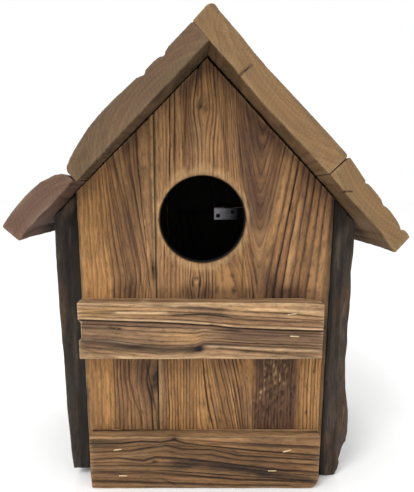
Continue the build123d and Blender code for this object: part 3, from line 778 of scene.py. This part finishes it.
def lower_batten_figure(x, y, z):
    """Lower batten: level grain that waves round two knots, with a long dark stained streak."""
    depth = y - FRONT_Y
    level = z + 0.5 * noise(x, depth, z, (24, 12, 6), 83, 2) + 0.2 * noise(x, depth, z, (8, 9, 3), 84)
    wave = [(-90, 34.6), (-60, 34.8), (-45, 36.6), (-31, 35.9), (-21.5, 37.4), (-14, 34.8), (11, 31.8),
            (36, 29.1), (90, 24.4)]
    second = [(-90, 27.4), (-52, 29.0), (-37, 31.8), (-27, 33.3), (-17, 30.6), (5, 30.2), (24, 25.4),
              (90, 21.8)]
    third = [(-90, 22.0), (-61, 23.6), (-43, 21.0), (-35, 24.0), (-14, 22.4), (5, 20.2), (24, 18.0),
             (49, 13.9), (90, 10.6)]
    fourth = [(-90, 18.0), (-52, 18.0), (-27, 17.4), (-8, 16.6), (30, 14.0), (90, 8.0)]
    fifth = [(-90, 13.2), (-40, 13.0), (-2, 9.8), (24, 7.5), (90, 4.6)]
    sixth = [(-90, 6.1), (-52, 5.4), (-14, 4.0), (24, 2.6), (90, 1.8)]
    radius = between_routes(x, level, [
        (0, [(-90, -1), (90, -2)]),
        (6, sixth),
        (12, fifth),
        (18, fourth),
        (22, third),
        (28, second),
        (34, wave),
        (41, [(-90, 41.5), (90, 41)]),
    ]) + 0.3 * depth
    knots = spot(x, z, -21.5, 38.6, 3.0, 1.5) + spot(x, z, -35.6, 20.8, 2.4, 1.5)
    others = strokes(x, z, [
        (0.7, 0.6, wave[1:-1] + [(79, 25.0)]),
        (0.8, 0.6, [(-80, 27.8)] + second[1:-1] + [(79, 22.2)]),
        (0.75, 0.8, [(-80, 22.2)] + third[1:5]),
        (0.85, 0.7, [(-80, 18.0)] + fourth[1:4]),
        (0.8, 0.7, [(-80, 13.2)] + fifth[1:4] + [(79, 5.4)]),
        (0.8, 0.8, [(-80, 6.1)] + sixth[1:4] + [(60, 2.4)]),
        (0.6, 0.5, [(-50, 30.2), (-30, 34.4), (-18, 32.8), (-4, 32.6)]),
        (0.6, 0.7, [(-80, 36.4), (-60, 36.0)]),
        (0.6, 0.7, [(-20, 2.4), (-32, 8.2)][::-1]),
        (0.6, 0.5, [(0, 34.6), (40, 33.2), (79, 31.0)]),
        (0.6, 0.5, [(0, 27.0), (20, 22.6), (79, 18.4)]),
    ])
    black = stroke(x, z, [(-26, 19.0), (-5, 18.6), (12, 17.2), (24, 15.4), (49, 10.6), (84, 6.6)], 3.2, 12.0)
    black = black * (0.95 + 0.6 * noise(x, 0, z, (14, 5, 2.2), 87, 2))
    stain = 0.95 * black + 0.4 * noise(radius, 0, x, (4, 1, 40), 89)
    stain += 0.5 * band(z, 33, 38, 1.5) * rise(x, -50, -72) + 0.4 * spot(x, z, -20, 33, 12, 4)
    gold = spots(x, z, [(0.6, -2, 34, 20, 3.6), (0.5, 60, 28, 18, 3)])
    gold += 0.5 * noise(radius, 0, x, (5, 1, 50), 91)
    pale = 0.4 * rise(z, 37.6, 39.6) + 0.4 * spot(x, z, -31, 33.6, 6, 1.0)
    pale += 0.4 * stroke(x, z, [(-60, 25.6), (-40, 27.0)], 1.2)
    line = 1.0 + 0.5 * noise(radius, 0, x, (3, 1, 50), 93)
    dark = 0.8 * knots + 0.9 * others + 0.55 * black * rise(x, -10, 30)
    dent = 0.08 + 0.2 * noise(x, depth, z, (30, 10, 8), 95, 2) + 0.8 * knots + 0.8 * others
    return ring_marks(radius, 2.9, x, depth, line, 0.45, stain=stain, gold=gold, dark=dark, pale=pale,
                      dent=dent)


def plain_upright_figure(seed, ring_width=3.2, centre=0.0, tint=0.0):
    """Figure of the boards at the back: upright grain with a few checks."""

    def figure(x, y, z):
        upright = x + 1.0 * noise(x, y, z, (14, 30, 46), seed, 2)
        upright = bow(upright, z, [(centre + 14, 116, 7, 14, 0.8)])
        radius = np.hypot(upright - centre, 0.16 * (330 - z)) + 0.3 * (y - FRONT_Y)
        radius += 1.2 * noise(radius, 0, 0, (8, 1, 1), seed + 1)
        line = 0.85 + 0.5 * noise(radius, 0, z, (4, 1, 70), seed + 2)
        knot = spot(x, z, centre + 14, 116, 2.6, 3.4)
        crack = strokes(z, x, [
            (0.9, 0.5, [(20, centre + 32), (70, centre + 30), (130, centre + 33)]),
            (0.8, 0.5, [(150, centre - 16), (200, centre - 14), (250, centre - 15)]),
            (0.7, 0.4, [(20, centre - 34), (90, centre - 36)]),
        ])
        stain = tint + 0.3 + 0.5 * noise(radius, 0, z, (6, 1, 60), seed + 3)
        # The band up to 15 mm under the roof's edge is painted shade under the overhang.
        stain += 0.5 * rise(z, slope_z(x) - 15, slope_z(x) - 2) + 0.4 * rise(z, 30, 5)
        gold = 0.5 * noise(radius, 0, z, (9, 1, 70), seed + 4)
        dent = 0.08 + 0.2 * noise(x, y, z, (10, 10, 40), seed + 5, 2) + 0.9 * crack + 0.6 * knot
        return ring_marks(radius, ring_width, z, y - FRONT_Y, line, stain=stain, gold=gold,
                          dark=0.8 * crack + 0.7 * knot, shade=in_cavity(x, y, z), dent=dent)

    return figure


def level_figure(seed, axis_z, ring_width=3.0, shaded=False):
    """Figure of a board whose grain lies along x."""

    def figure(x, y, z):
        level = z + 1.0 * noise(x, y, z, (44, 20, 9), seed, 2)
        level = bow(level, x, [(axis_z + 4, 26.0, 4, 9, 0.8)])
        radius = 140.0 + np.hypot(level - axis_z, 8.0) + 0.4 * y
        radius += 1.0 * noise(radius, 0, 0, (7, 1, 1), seed + 1)
        line = 0.85 + 0.5 * noise(radius, 0, x, (3, 1, 60), seed + 2)
        crack = stroke(x, z, [(-70, axis_z - 3), (-20, axis_z - 4), (10, axis_z - 3)], 0.5)
        knot = spot(x, z, 26.0, axis_z + 4, 3.0, 1.8)
        stain = 0.35 + 0.5 * noise(radius, 0, x, (5, 1, 50), seed + 3)
        gold = 0.4 * noise(radius, 0, x, (8, 1, 60), seed + 4)
        dent = 0.08 + 0.2 * noise(x, y, z, (36, 10, 9), seed + 5, 2) + crack + 0.5 * knot
        shade = in_cavity(x, y, z) if shaded else 0 * x
        return ring_marks(radius, ring_width, x, y, line, 0.4, stain=stain, gold=gold,
                          dark=0.85 * crack + 0.7 * knot, shade=shade, dent=dent)

    return figure


def side_figure(side, seed):
    """Dark weathered side board, deeply furrowed, with a raw light patch under the left eave."""

    def figure(x, y, z):
        across = y + 1.8 * noise(x, y, z, (20, 12, 50), seed, 2)
        across = bow(across, z, [(-20.0, 120.0, 9, 16, 0.8), (36.0, 60.0, 8, 14, 0.8)])
        radius = np.hypot(across - 10.0, 22.0 + 0.9 * (x - side * 84.0))
        radius += 1.5 * noise(radius, 0, 0, (8, 1, 1), seed + 1)
        outer = rise(np.abs(x), 91, 96)
        line = 0.85 + 0.5 * noise(radius, 0, z, (4, 1, 70), seed + 2)
        lumps = noise(x, y, z, (6, 8, 16), seed + 6, 3)
        worn = noise(x, y, z, (5, 9, 24), seed + 9, 3)
        stain = 0.45 + 0.6 * noise(x, y, z, (9, 12, 30), seed + 3, 2)
        brown = 0.8 * rise(noise(x, y, z, (7, 9, 26), seed + 4, 2), 0.0, 0.45)
        raw = 0.0 * x
        if side < 0:
            torn = rise(noise(x, y, z, (5, 9, 6), seed + 8, 2), -0.5, 0.1)
            raw = band(z, 191, 203, 3) * torn * rise(x, -97, -93)
        knots = spot(y, z, -20, 120, 4, 6) + spot(y, z, 36, 60, 3.6, 5)
        cracks = strokes(z, y, [
            (0.9, 0.6, [(30, -40), (80, -38), (130, -41)]),
            (0.9, 0.6, [(60, 18), (120, 21), (180, 19)]),
            (0.8, 0.5, [(20, 50), (70, 52)]),
        ]) * outer
        ridged = 1.3 * rise(lumps, -0.25, 0.7) + 0.7 * knots + 0.8 * cracks
        dent = 0.05 + outer * ridged * (0.35 + 0.65 * rise(y, WALL_LOW[1] + 4, WALL_LOW[1] + 14))
        shade = in_cavity(x, y, z)
        # Painted shade: the side board's front end is darkened beside the wall, where the gap between them
        # lies in shade; reach is that band's width.
        reach = (4.6 + 1.6 * rise(z, 120, 20)) if side < 0 else 2.4 + 0.0 * z
        reach += 1.0 * noise(0, 0, z, (1, 1, 13), seed + 12, 2)
        painted_shade_beside_wall = rise(np.abs(x), 84.5 + reach + 1.6, 84.5 + reach) * rise(y, FRONT_Y + 9, FRONT_Y + 3)
        return ring_marks(radius, 3.6, z, x, line, 0.5, stain=stain, gold=brown * (1 - raw) + 0.9 * raw,
                          dark=0.6 * knots * outer + 0.8 * cracks + 0.75 * painted_shade_beside_wall * (1 - raw),
                          pale=0.5 * rise(worn, 0.15, 0.55) + 0.6 * raw, shade=shade,
                          dent=np.minimum(dent, 2.4))

    return figure


# --- Wall boards ---------------------------------------------------------------------------------
LEVEL_TOP = 198.0  # below this a wall board's grid is level, above it the grid follows the slope


def sloping_place(left_x, face_y, height):
    """Block of that height bent to a wall board whose top follows the roof."""

    def place(p):
        x = left_x + p[:, 0]
        top = slope_z(x) - np.where(x < APEX_X, *ROOF_GAP)
        share = (p[:, 2] - LEVEL_TOP) / (height - LEVEL_TOP)
        z = np.where(share > 0, LEVEL_TOP + share * (top - LEVEL_TOP), p[:, 2])
        return np.stack([x, face_y + p[:, 1], z], 1)

    return place


def wall_board(node, grain_step, figure, seed, opening=None, through_x=(), through_z=()):
    low, high = node_box(node)
    size = (high[0] - low[0], WALL_THICK, high[2])
    apex = [APEX_X] if low[0] < APEX_X < high[0] else []
    lines = [v - low[0] for v in apex + list(through_x)]
    return plank(node, size, (grain_step, 3.0, 2.2), sloping_place(low[0], low[1], size[2]), figure,
                 FRONT_WOOD, seed=seed, through=(lines, (), through_z), opening=opening)


def in_entrance(x, z):
    return np.hypot(x - HOLE_X, z - HOLE_Z) < HOLE_RADIUS


def entrance_rim(x, z, depth):
    angle = np.arctan2(z - HOLE_Z, x - HOLE_X)
    radius = HOLE_RADIUS + 0.5 * max(0.0, 1 - depth / 0.5) ** 2
    return HOLE_X + radius * np.cos(angle), HOLE_Z + radius * np.sin(angle)


def in_window(x, z):
    main = (x > WINDOW_X[0]) & (x < WINDOW_X[1]) & (z > WINDOW_Z[0]) & (z < WINDOW_Z[1])
    notch = (x > NOTCH_X[0]) & (x < NOTCH_X[1]) & (z > WINDOW_Z[0]) & (z < NOTCH_TOP)
    return main | notch


def window_rim(x, z, depth):
    """Straight edge, with the notch's two sides swollen inside the board towards the hinge leaf."""
    swell = 1.0 * rise(depth, 4.4, 6.2) * rise(z, WINDOW_Z[1] - 0.1, WINDOW_Z[1] + 0.6)
    left = swell * (np.abs(x - NOTCH_X[0]) < 0.4)
    right = swell * (np.abs(x - NOTCH_X[1]) < 0.4)
    return x + left - right, z


def make_walls():
    wall_board("front_wide_board", 0.45, wall_figure, 101, (in_entrance, entrance_rim))
    wall_board("front_narrow_board", 0.45, narrow_figure, 102)
    wall_board("back_narrow_board", 0.7, plain_upright_figure(201, centre=-70), 103)
    wall_board("back_wide_board", 0.7, plain_upright_figure(221, centre=40), 104, (in_window, window_rim),
               WINDOW_X + NOTCH_X, WINDOW_Z + (NOTCH_TOP,))


# --- Battens, floor, flap and side boards ------------------------------------------------------------
def level_board(node, figure, material, seed, arris=1.0, steps=(1.6, 2.0, 0.45), body="house",
                change=None):
    """Board with level grain that fills its CAD node's box; change adjusts its placed points."""
    low, high = node_box(node)

    def place(p):
        p = p + low
        return change(p, low, high) if change else p

    return plank(node, tuple(high - low), steps, place, figure, material, body, arris, seed)


def upper_batten_shape(p, low, high):
    """Shallow break in the left end."""
    cut = 1.8 * band(p[:, 2], 111.0, 123.5, 0.9) * rise(p[:, 0], low[0] + 3, low[0] + 1)
    p[:, 0] += cut
    worn = 1.2 * rise(p[:, 0], high[0] - 14, high[0]) * rise(p[:, 2], high[2] - 3, high[2])
    p[:, 2] -= worn
    return p


def lower_batten_shape(p, low, high):
    """Lower right corner worn round."""
    radius = 8.5
    centre = np.array([high[0] - radius, low[2] + radius])
    away = p[:, [0, 2]] - centre
    corner = (away[:, 0] > 0) & (away[:, 1] < 0)
    reach = np.maximum(np.linalg.norm(away, axis=1), 1e-9)
    pull = np.where(corner & (reach > radius), radius / reach, 1)
    p[:, 0] = np.where(corner, centre[0] + away[:, 0] * pull, p[:, 0])
    p[:, 2] = np.where(corner, centre[1] + away[:, 1] * pull, p[:, 2])
    return p


def flap_figure(x, y, z):
    marks = plain_upright_figure(241, centre=4.0, tint=-0.1)(x, y, z)
    flap_inner = node_box("cleanout_flap")[0][1]
    inner = rise(y, flap_inner + 0.9, flap_inner + 0.6)
    # Painted shade on the flap's inner face within the window.
    marks["shade"] = inner * band(x, *WINDOW_X, 0.6) * rise(z, WINDOW_Z[0] - 0.6, WINDOW_Z[0] + 0.6)
    return marks


def flap_shape(p, low, high):
    """Top edge raised under the hinge, so that no daylight shows below the knuckles."""
    raised = 1.3
    under_hinge = band(p[:, 0], NOTCH_X[0] - 6, NOTCH_X[1] + 6, 3.0)
    outer_part = rise(p[:, 1], low[1] + 1.0, low[1] + 3.0)
    p[:, 2] += raised * under_hinge * rise(p[:, 2], high[2] - 8, high[2]) * outer_part
    return p


def button_shape(p, low, high):
    """Round ends."""
    radius = (high[2] - low[2]) / 2
    middle_z = (high[2] + low[2]) / 2
    up = (p[:, 2] - middle_z) / radius
    end = np.sqrt(np.maximum(1 - up**2, 0.0))
    for limit, sign in ((low[0], 1), (high[0], -1)):
        inset = radius * (1 - end)
        near = rise(np.abs(p[:, 0] - limit), 2.2 * radius, 0)
        p[:, 0] += sign * inset * near
    return p


def make_boards():
    level_board("upper_batten", upper_batten_figure, UPPER_BATTEN_WOOD, 111,
                change=upper_batten_shape)
    level_board("lower_batten", lower_batten_figure, LOWER_BATTEN_WOOD, 112, 1.2,
                change=lower_batten_shape)
    level_board("back_batten", level_figure(211, 18.0), UPPER_BATTEN_WOOD, 113)
    level_board("floor_board", level_figure(231, 60.0, shaded=True), FRONT_WOOD, 114,
                steps=(2.4, 2.0, 1.4))
    level_board("cleanout_flap", flap_figure, FRONT_WOOD, 115, body="flap",
                steps=(0.7, 2.0, 2.0), change=flap_shape)
    level_board("turn_button", level_figure(251, 27.0, 2.2), LOWER_BATTEN_WOOD, 116, 1.0,
                body="button", steps=(0.6, 0.8, 0.4), change=button_shape)


LEFT_OUTER = [(8.4, -97.4), (17.5, -98.2), (53, -99.5), (98, -100.0), (142, -100.9), (205, -100.9)]
RIGHT_OUTER = [
    (0.6, 96.6), (6, 98.6), (12, 99.6), (15, 99.0), (22, 100.4), (27, 101.6), (31, 103.8),
    (38, 104.6), (48, 104.2), (57, 103.8), (66, 102.4), (76, 100.8), (88, 99.9), (98, 99.4),
    (112, 99.9), (125, 99.5), (140, 100.3), (152, 100.2), (166, 99.3), (180, 100.0), (205, 99.4)]


def side_board(node, side, outer, seed, hang):
    """Side board with a live outer face that wanders in and out along its depth. hang is how far its
    worn foot reaches below its CAD node."""
    low, high = node_box(node)
    low[2] -= hang
    inner_x = high[0] if side < 0 else low[0]
    thick = abs((low[0] if side < 0 else high[0]) - inner_x)
    size = (thick, high[1] - low[1], high[2] - low[2])
    heights = [p[0] for p in outer]
    faces = [p[1] for p in outer]

    def place(p):
        across = p[:, 0] / thick
        if side < 0:
            across = 1 - across
        level = p[:, 2] / size[2]
        y = low[1] + p[:, 1]
        z_guess = low[2] + level * (high[2] - low[2])
        wander = 2.0 * rise(y, low[1] + 4, low[1] + 40) * (0.6 + noise(y, z_guess, 0, (24, 34, 1), seed, 2))
        face = np.interp(z_guess, heights, faces) - side * np.maximum(wander, 0)
        x = inner_x + across * (face - inner_x)
        z = low[2] + level * (slope_z(x) - 0.4 - low[2])
        return np.stack([x, y, z], 1)

    return plank(node, size, (1.2, 1.0, 1.8), place, side_figure(side, seed), SIDE_WOOD,
                 arris=1.5, seed=seed, tight=False)


def make_sides():
    side_board("left_side_board", -1, LEFT_OUTER, 121, 2.4)
    side_board("right_side_board", 1, RIGHT_OUTER, 122, 0.4)


# --- Roof ---------------------------------------------------------------------------------------------
ROOF_FRONT, ROOF_BACK = node_box("roof_right_upper")[0][1], node_box("roof_right_upper")[1][1]


def on_slope(side, along, height):
    slope = LEFT_SLOPE if side < 0 else RIGHT_SLOPE
    x = APEX_X + side * (along * math.cos(slope) + height * math.sin(slope))
    z = APEX_Z - along * math.sin(slope) + height * math.cos(slope)
    return x, z


def off_slope(side, x, z):
    """Distance along the slope and height over its underside, from a frame point."""
    slope = LEFT_SLOPE if side < 0 else RIGHT_SLOPE
    dx = side * (x - APEX_X)
    dz = APEX_Z - z
    return dx * math.cos(slope) + dz * math.sin(slope), dx * math.sin(slope) - dz * math.cos(slope)


def roof_figure(side, pith, seed, tones, cracks=()):
    """Sawn roof board: ring arcs on its ends, long grain on its faces, a darker rippled underside."""
    stain_share, gold_share, line_share = tones

    def figure(x, y, z):
        along, height = off_slope(side, x, z)
        a = along + 0.8 * noise(along, y, height, (12, 60, 8), seed, 2)
        radius = np.hypot(a - pith[0], height - pith[1])
        radius += 0.8 * noise(radius, 0, 0, (5, 1, 1), seed + 1)
        end = rise(np.minimum(y - ROOF_FRONT, ROOF_BACK - y), 1.6, 0.3)
        # The underside is painted darker and greyer: partly its own greyer tone, partly painted shade under
        # the roof.
        under = rise(height, 1.3, 0.4) * (1 - end)
        top = (1 - end) * (1 - under)
        line = line_share * (0.6 + 0.5 * noise(radius, 0, y, (3, 1, 60), seed + 2))
        line = np.where(end > 0.5, line * 0.9, line + 0.45)
        stain = stain_share * (0.6 + 0.9 * noise(along, y, height, (20, 40, 7), seed + 3, 2))
        stain += 0.25 * under + 0.35 * top
        gold = gold_share * (0.5 + 0.9 * noise(along, y, height, (24, 40, 8), seed + 4, 2))
        split = 0.0 * x
        for start, finish in cracks:
            t = np.clip((height - start[1]) / (finish[1] - start[1]), 0, 1)
            gap = along - (start[0] + t * (finish[0] - start[0]))
            gap += 0.5 * noise(along, 0, height, (3, 1, 2), seed + 9)
            inside = band(height, start[1] - 1, finish[1], 0.5) * rise(y, ROOF_FRONT + 12, ROOF_FRONT + 4)
            split += np.exp(-((gap / 0.42) ** 2)) * inside
        ripple = np.sin(y / 1.15 + 2.5 * noise(along, y, 0, (18, 22, 1), seed + 5))
        ripple = ripple * rise(noise(along, y, 0, (20, 12, 1), seed + 10), -0.3, 0.3)
        behind = rise(y, ROOF_FRONT + 1, ROOF_FRONT + 16)
        saw = np.sin((along + 0.5 * height) / 0.4 + 4 * noise(along, 0, height, (9, 1, 9), seed + 6))
        dent = 0.05 + 0.1 * noise(along, y, height, (8, 30, 8), seed + 7, 2)
        dent += under * behind * (0.2 + 0.25 * ripple) + end * 0.08 * (1 + saw)
        dent += top * behind * (0.5 + 0.7 * noise(along, y, height, (6, 44, 9), seed + 8, 3))
        dent += 1.6 * split
        # The underside's darkening along its ripples is partly painted shade.
        dark = 0.95 * split + 0.4 * under * rise(ripple, 0.2, 1.0) + end * 0.16 * rise(saw, 0.2, 1.0)
        dark += 0.28 * under * rise(noise(along, y, 0, (8, 16, 1), seed + 11, 2), -0.1, 0.5)
        weather = rise(height, 10.5, 13.5) * (1 - 0.5 * end) * 0.35
        return ring_marks(radius, 2.4, y, height, line, stain=stain, gold=gold, dark=dark + weather,
                          shade=in_cavity(x, y, z) * rise(height, 1.6, 0.8), dent=np.maximum(dent, 0.05))

    return figure


def roof_board(node, side, top, start, finish, figure, material, seed, sag, bottom=None, arris=1.1):
    """Roof board from its end view: top and bottom are heights along the slope, and start and
    finish are its two ends as (at the underside, at the top). sag is how far the underside drops
    at the front end, along the slope."""
    length = finish[1] - start[1]
    thick = max(p[1] for p in top)
    depth = ROOF_BACK - ROOF_FRONT
    top_s = [p[0] for p in top]
    top_h = [p[1] for p in top]
    bottom = bottom or [(start[0], 0.0), (finish[0], 0.0)]

    def place(p):
        share = p[:, 0] / length
        if side < 0:
            share = 1 - share
        level = p[:, 2] / thick
        first = start[0] + (start[1] - start[0]) * level
        last = finish[0] + (finish[1] - finish[0]) * level
        along = first + share * (last - first)
        y = ROOF_FRONT + p[:, 1]
        back = rise(y, ROOF_FRONT, ROOF_FRONT + 14)
        inland = rise(np.minimum(share, 1 - share) * length, 1.0, 14.0)
        drift = 3.0 * back * inland * noise(y, 0, along, (40, 1, 30), seed + 1, 2)
        worn = 1.1 * np.maximum(0, noise(along, y, 0, (9, 50, 1), seed, 2)) * back
        high = np.interp(along + drift, top_s, top_h) - worn
        low = np.interp(along, [b[0] for b in bottom], [b[1] for b in bottom])
        drop = np.interp(along, [b[0] for b in sag], [b[1] for b in sag])
        low = low - drop * rise(y, ROOF_FRONT + 28, ROOF_FRONT + 2)
        height = low + level * (high - low)
        x, z = on_slope(side, along, height)
        return np.stack([x, y, z], 1)

    return plank(node, (length, depth, thick), (0.8, 2.4, 0.7), place, figure, material,
                 arris=arris, seed=seed)


def make_roof():
    roof_board(
        "roof_left_upper", -1,
        [(0, 12.4), (1.5, 12.9), (4.3, 12.9), (12.1, 12.9), (19, 12.9), (22, 12.2), (23.4, 11.2),
         (24.2, 11.5), (26.3, 12.6), (30, 13.1), (35.8, 13.2), (37.6, 12.4), (38.7, 11.7), (40, 12.4),
         (43, 13.7), (47, 13.9), (60, 14.6), (72, 14.7), (80.7, 14.2), (86, 13.2), (95.8, 11.3),
         (101, 9.9), (106.2, 7.8), (108.3, 5.2)],
        (0.0, 0.2), (108.1, 108.1),
        roof_figure(-1, (40, -55), 131, (0.15, 0.6, 0.4)), LEFT_ROOF_WOOD, 131,
        [(0, 0.7), (40, 1.0), (65, 1.2), (85, 1.6), (108, 2.2)], arris=1.2,
    )
    roof_board(
        "roof_left_lower", -1,
        [(108.9, 4.2), (109.6, 5.0), (111, 7.2), (114.2, 9.4), (119.3, 11.2), (123.8, 12.6), (129.8, 13.1),
         (135.2, 13.3), (144.7, 12.9), (151.9, 12.1), (157.8, 11.1), (159.0, 10.6)],
        (108.7, 109.2), (158.0, 159.1),
        roof_figure(-1, (137, -40), 132, (0.15, 0.6, 0.45)), LOW_LEFT_ROOF_WOOD, 132,
        [(109, 0.3), (123, 0.9), (138, 0.9), (152, 0.9), (158, 0.8)],
        bottom=[(108, 0.0), (150, 0.0), (157.7, -1.6)], arris=1.2,
    )
    roof_board(
        "roof_right_upper", 1,
        [(-13.1, 11.3), (-12.4, 12.6), (-11.6, 13.8), (-10.2, 14.5), (-8.5, 14.4), (-6, 14.0),
         (2, 14.1), (9, 14.0), (22, 13.3), (35, 13.2), (47.6, 13.6), (67, 14.3), (88, 14.7),
         (98.8, 14.8), (100.3, 14.0)],
        (-12.9, -13.1), (100.4, 100.5),
        roof_figure(1, (48, 95), 133, (0.1, 0.5, 0.3), cracks=[((25.6, 0.0), (25.9, 8.0))]),
        RIGHT_ROOF_WOOD, 133,
        [(-13, 0.3), (0, 0.5), (20, 0.5), (26, 1.0), (42, 1.5), (60, 1.2), (84, 0.6), (100, 0.2)],
    )
    roof_board(
        "roof_right_lower", 1,
        [(101.1, 14.7), (102, 14.8), (106, 14.4), (109.8, 14.0), (114, 13.3), (117.6, 12.9), (118.9, 11.7),
         (120, 12.6), (123, 12.9), (128.8, 12.7), (132.7, 12.4), (134.6, 11.6), (136.2, 11.2), (138.6, 11.9),
         (140.9, 12.0), (148.6, 11.4), (152.6, 10.4), (154.5, 9.2), (155.6, 10.8), (158, 11.1),
         (161.3, 10.6)],
        (100.8, 101.2), (162.5, 161.4),
        roof_figure(1, (129, 80), 134, (0.15, 0.4, 0.45), cracks=[((114.5, 0.0), (117.5, 3.0))]),
        RIGHT_ROOF_WOOD, 134,
        [(101, 0.0), (111, 0.6), (127, 0.4), (147, 0.3), (154, 0.4), (162, 0.6)],
        bottom=[(101, 0.0), (147, 0.0), (153, -0.9), (161, -1.5)], arris=1.2,
    )


# --- Fasteners ----------------------------------------------------------------------------------------
def tube(path, radius, across, sides=10):
    """Flattened wire along a path: across scales its width against its thickness."""
    path = np.array(path, float)
    ahead = np.gradient(path, axis=0)
    ahead /= np.linalg.norm(ahead, axis=1, keepdims=True)
    points, quads = [], []
    for p, t in zip(path, ahead):
        wide = np.array([0.0, 0.0, 1.0])
        other = np.cross(t, wide)
        for n in range(sides):
            a = 2 * math.pi * n / sides
            points.append(p + radius * across * math.cos(a) * wide + radius * math.sin(a) * other)
    for ring in range(len(path) - 1):
        for n in range(sides):
            a, b = ring * sides + n, ring * sides + (n + 1) % sides
            quads.append([a, b, b + sides, a + sides])
    return points, quads


CROWN_HALF = 3.0  # half the length of a staple's crown
WIRE_RADIUS = 0.32
LEG_DROP = 2.2
PATH_STEPS = 24
TUBE_SIDES = 10


def staple_path(sink):
    """Middle line of one staple, as points of (across, depth into the wood, 0)."""
    path = []
    for step in range(PATH_STEPS + 1):
        t = -1 + step / 12
        drop = LEG_DROP * max(0.0, abs(t) - 0.86) / 0.14
        lift = 0.0 if abs(t) > 0.86 else 0.08 * (1 - t * t)
        half = CROWN_HALF * min(abs(t), 0.9) / 0.9 * (1 if t > 0 else -1)
        path.append([half, drop + 0.35 + sink - lift, 0.0])
    return path


def staples(node, places, face_y, inward):
    """Wire staples whose crowns bridge the wood, each as (x, z, tilt, depth)."""
    points, quads = [], []
    for x, z, tilt, sink in places:
        turn = math.radians(tilt)
        shape, faces = tube(staple_path(sink), WIRE_RADIUS, 1.75)
        faces = [list(face) for face in faces]
        for ring in (0, PATH_STEPS):
            cap = [ring * TUBE_SIDES + n for n in range(TUBE_SIDES)]
            faces.append(cap if ring else cap[::-1])
        start = len(points)
        for px, py, pz in shape:
            rx = px * math.cos(turn) - pz * math.sin(turn)
            rz = px * math.sin(turn) + pz * math.cos(turn)
            points.append([x + rx, face_y + inward * py, z + rz])
        quads += [[start + i for i in (face if inward > 0 else face[::-1])] for face in faces]
    stand_for(make_object(node + "_wire", points, quads, STAPLE_STEEL), node, "house")


def dress(node, material):
    """Gives a CAD node that stays visible its material."""
    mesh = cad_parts[node].data
    mesh.materials.clear()
    mesh.materials.append(material)


def make_metal():
    dress("hinge_flap_leaf", HINGE_ZINC)
    dress("turn_button_washer", ZINC)
    for node in ("hinge_fixed_leaf", "hinge_pin"):
        dress(node, SHADE_DARK_ZINC)
    for node in ("hinge_fixed_screws", "hinge_flap_screws", "turn_button_screw"):
        dress(node, SCREW_STEEL)
    for node in ("roof_nails", "side_nails", "floor_nails"):
        dress(node, RUSTY_STEEL)
    staples("upper_batten_staples",
            [(56.5, 128.4, 8, -0.1), (58.7, 113.4, -3, -0.1), (-60.9, 129.5, -6, 1.1),
              (-59.1, 118.6, 12, 1.2)],
            node_box("upper_batten")[0][1], 1)
    staples("lower_batten_staples",
            [(-61.1, 30.2, 8, 0.0), (-58.0, 10.0, 0, 0.0), (57.3, 29.4, 15, -0.25), (47.4, 14.1, 0, -0.25)],
            node_box("lower_batten")[0][1], 1)
    staples("back_batten_staples",
            [(-62.0, 29.0, 5, 0.1), (-60.0, 11.0, -4, 0.1), (58.0, 30.0, 0, 0.1), (61.0, 12.0, 9, 0.1)],
            node_box("back_batten")[1][1], -1)


# --- Stage, camera and lights ---------------------------------------------------------------------------
def make_stage():
    s = Shader("floor")
    grain = s.noise(s.scaled(s.position(), (8.0, 8.0, 8.0)), detail=3.0)
    pale = s.mix(s.remap(grain, 0.3, 0.7), (1.0, 1.0, 1.0, 1), (0.98, 0.98, 0.98, 1))
    s.feed(s.surface.inputs["Base Color"], pale)
    s.surface.inputs["Roughness"].default_value = 0.9
    half = 20000.0  # in mm, so that the floor's edge is out of sight
    corners = [(-half, -half, -0.05), (half, -half, -0.05), (half, half, -0.05), (-half, half, -0.05)]
    make_object("floor", corners, [(0, 1, 2, 3)], s.material, smooth=False)


def aim(thing, target):
    direction = Vector(target) - thing.location
    thing.rotation_mode = "QUATERNION"
    thing.rotation_quaternion = direction.to_track_quat("-Z", "Y")


def area_light(name, place, target, size, power):
    light = bpy.data.lights.new(name, "AREA")
    light.shape = "DISK"
    light.size = size
    light.energy = power
    lamp = bpy.data.objects.new(name, light)
    bpy.context.scene.collection.objects.link(lamp)
    lamp.location = place
    aim(lamp, target)


def make_light():
    world = bpy.data.worlds.new("studio")
    bpy.context.scene.world = world
    world.use_nodes = True
    world.node_tree.nodes["Background"].inputs["Color"].default_value = (1, 1, 1, 1)
    world.node_tree.nodes["Background"].inputs["Strength"].default_value = 1.0
    area_light("key", (-0.7, -1.3, 1.5), (0, 0, 0.15), 0.8, 18.0)
    bpy.context.scene.view_settings.view_transform = "Standard"


CAMERA_DISTANCE = 331.3   # in front of the front wall's face
CAMERA_HEIGHT = 204.6
CAMERA_X = -4.28
CAMERA_PITCH = 12.48      # degrees below level
CAMERA_LENS = 36.52
CAMERA_SHIFT = (0.0163, 0.12)  # fitted with the lens to the photo's outline


def make_camera():
    data = bpy.data.cameras.new("camera")
    data.sensor_width = 36.0
    data.lens = CAMERA_LENS
    data.shift_x, data.shift_y = CAMERA_SHIFT
    data.clip_start, data.clip_end = 0.02, 100.0
    camera = bpy.data.objects.new("camera", data)
    bpy.context.scene.collection.objects.link(camera)
    camera.location = (CAMERA_X * MM, (FRONT_Y - CAMERA_DISTANCE) * MM, CAMERA_HEIGHT * MM)
    camera.rotation_euler = (math.radians(90 - CAMERA_PITCH), 0, 0)
    bpy.context.scene.camera = camera


make_camera()
make_light()
make_stage()
make_walls()
make_boards()
make_sides()
make_roof()
make_metal()
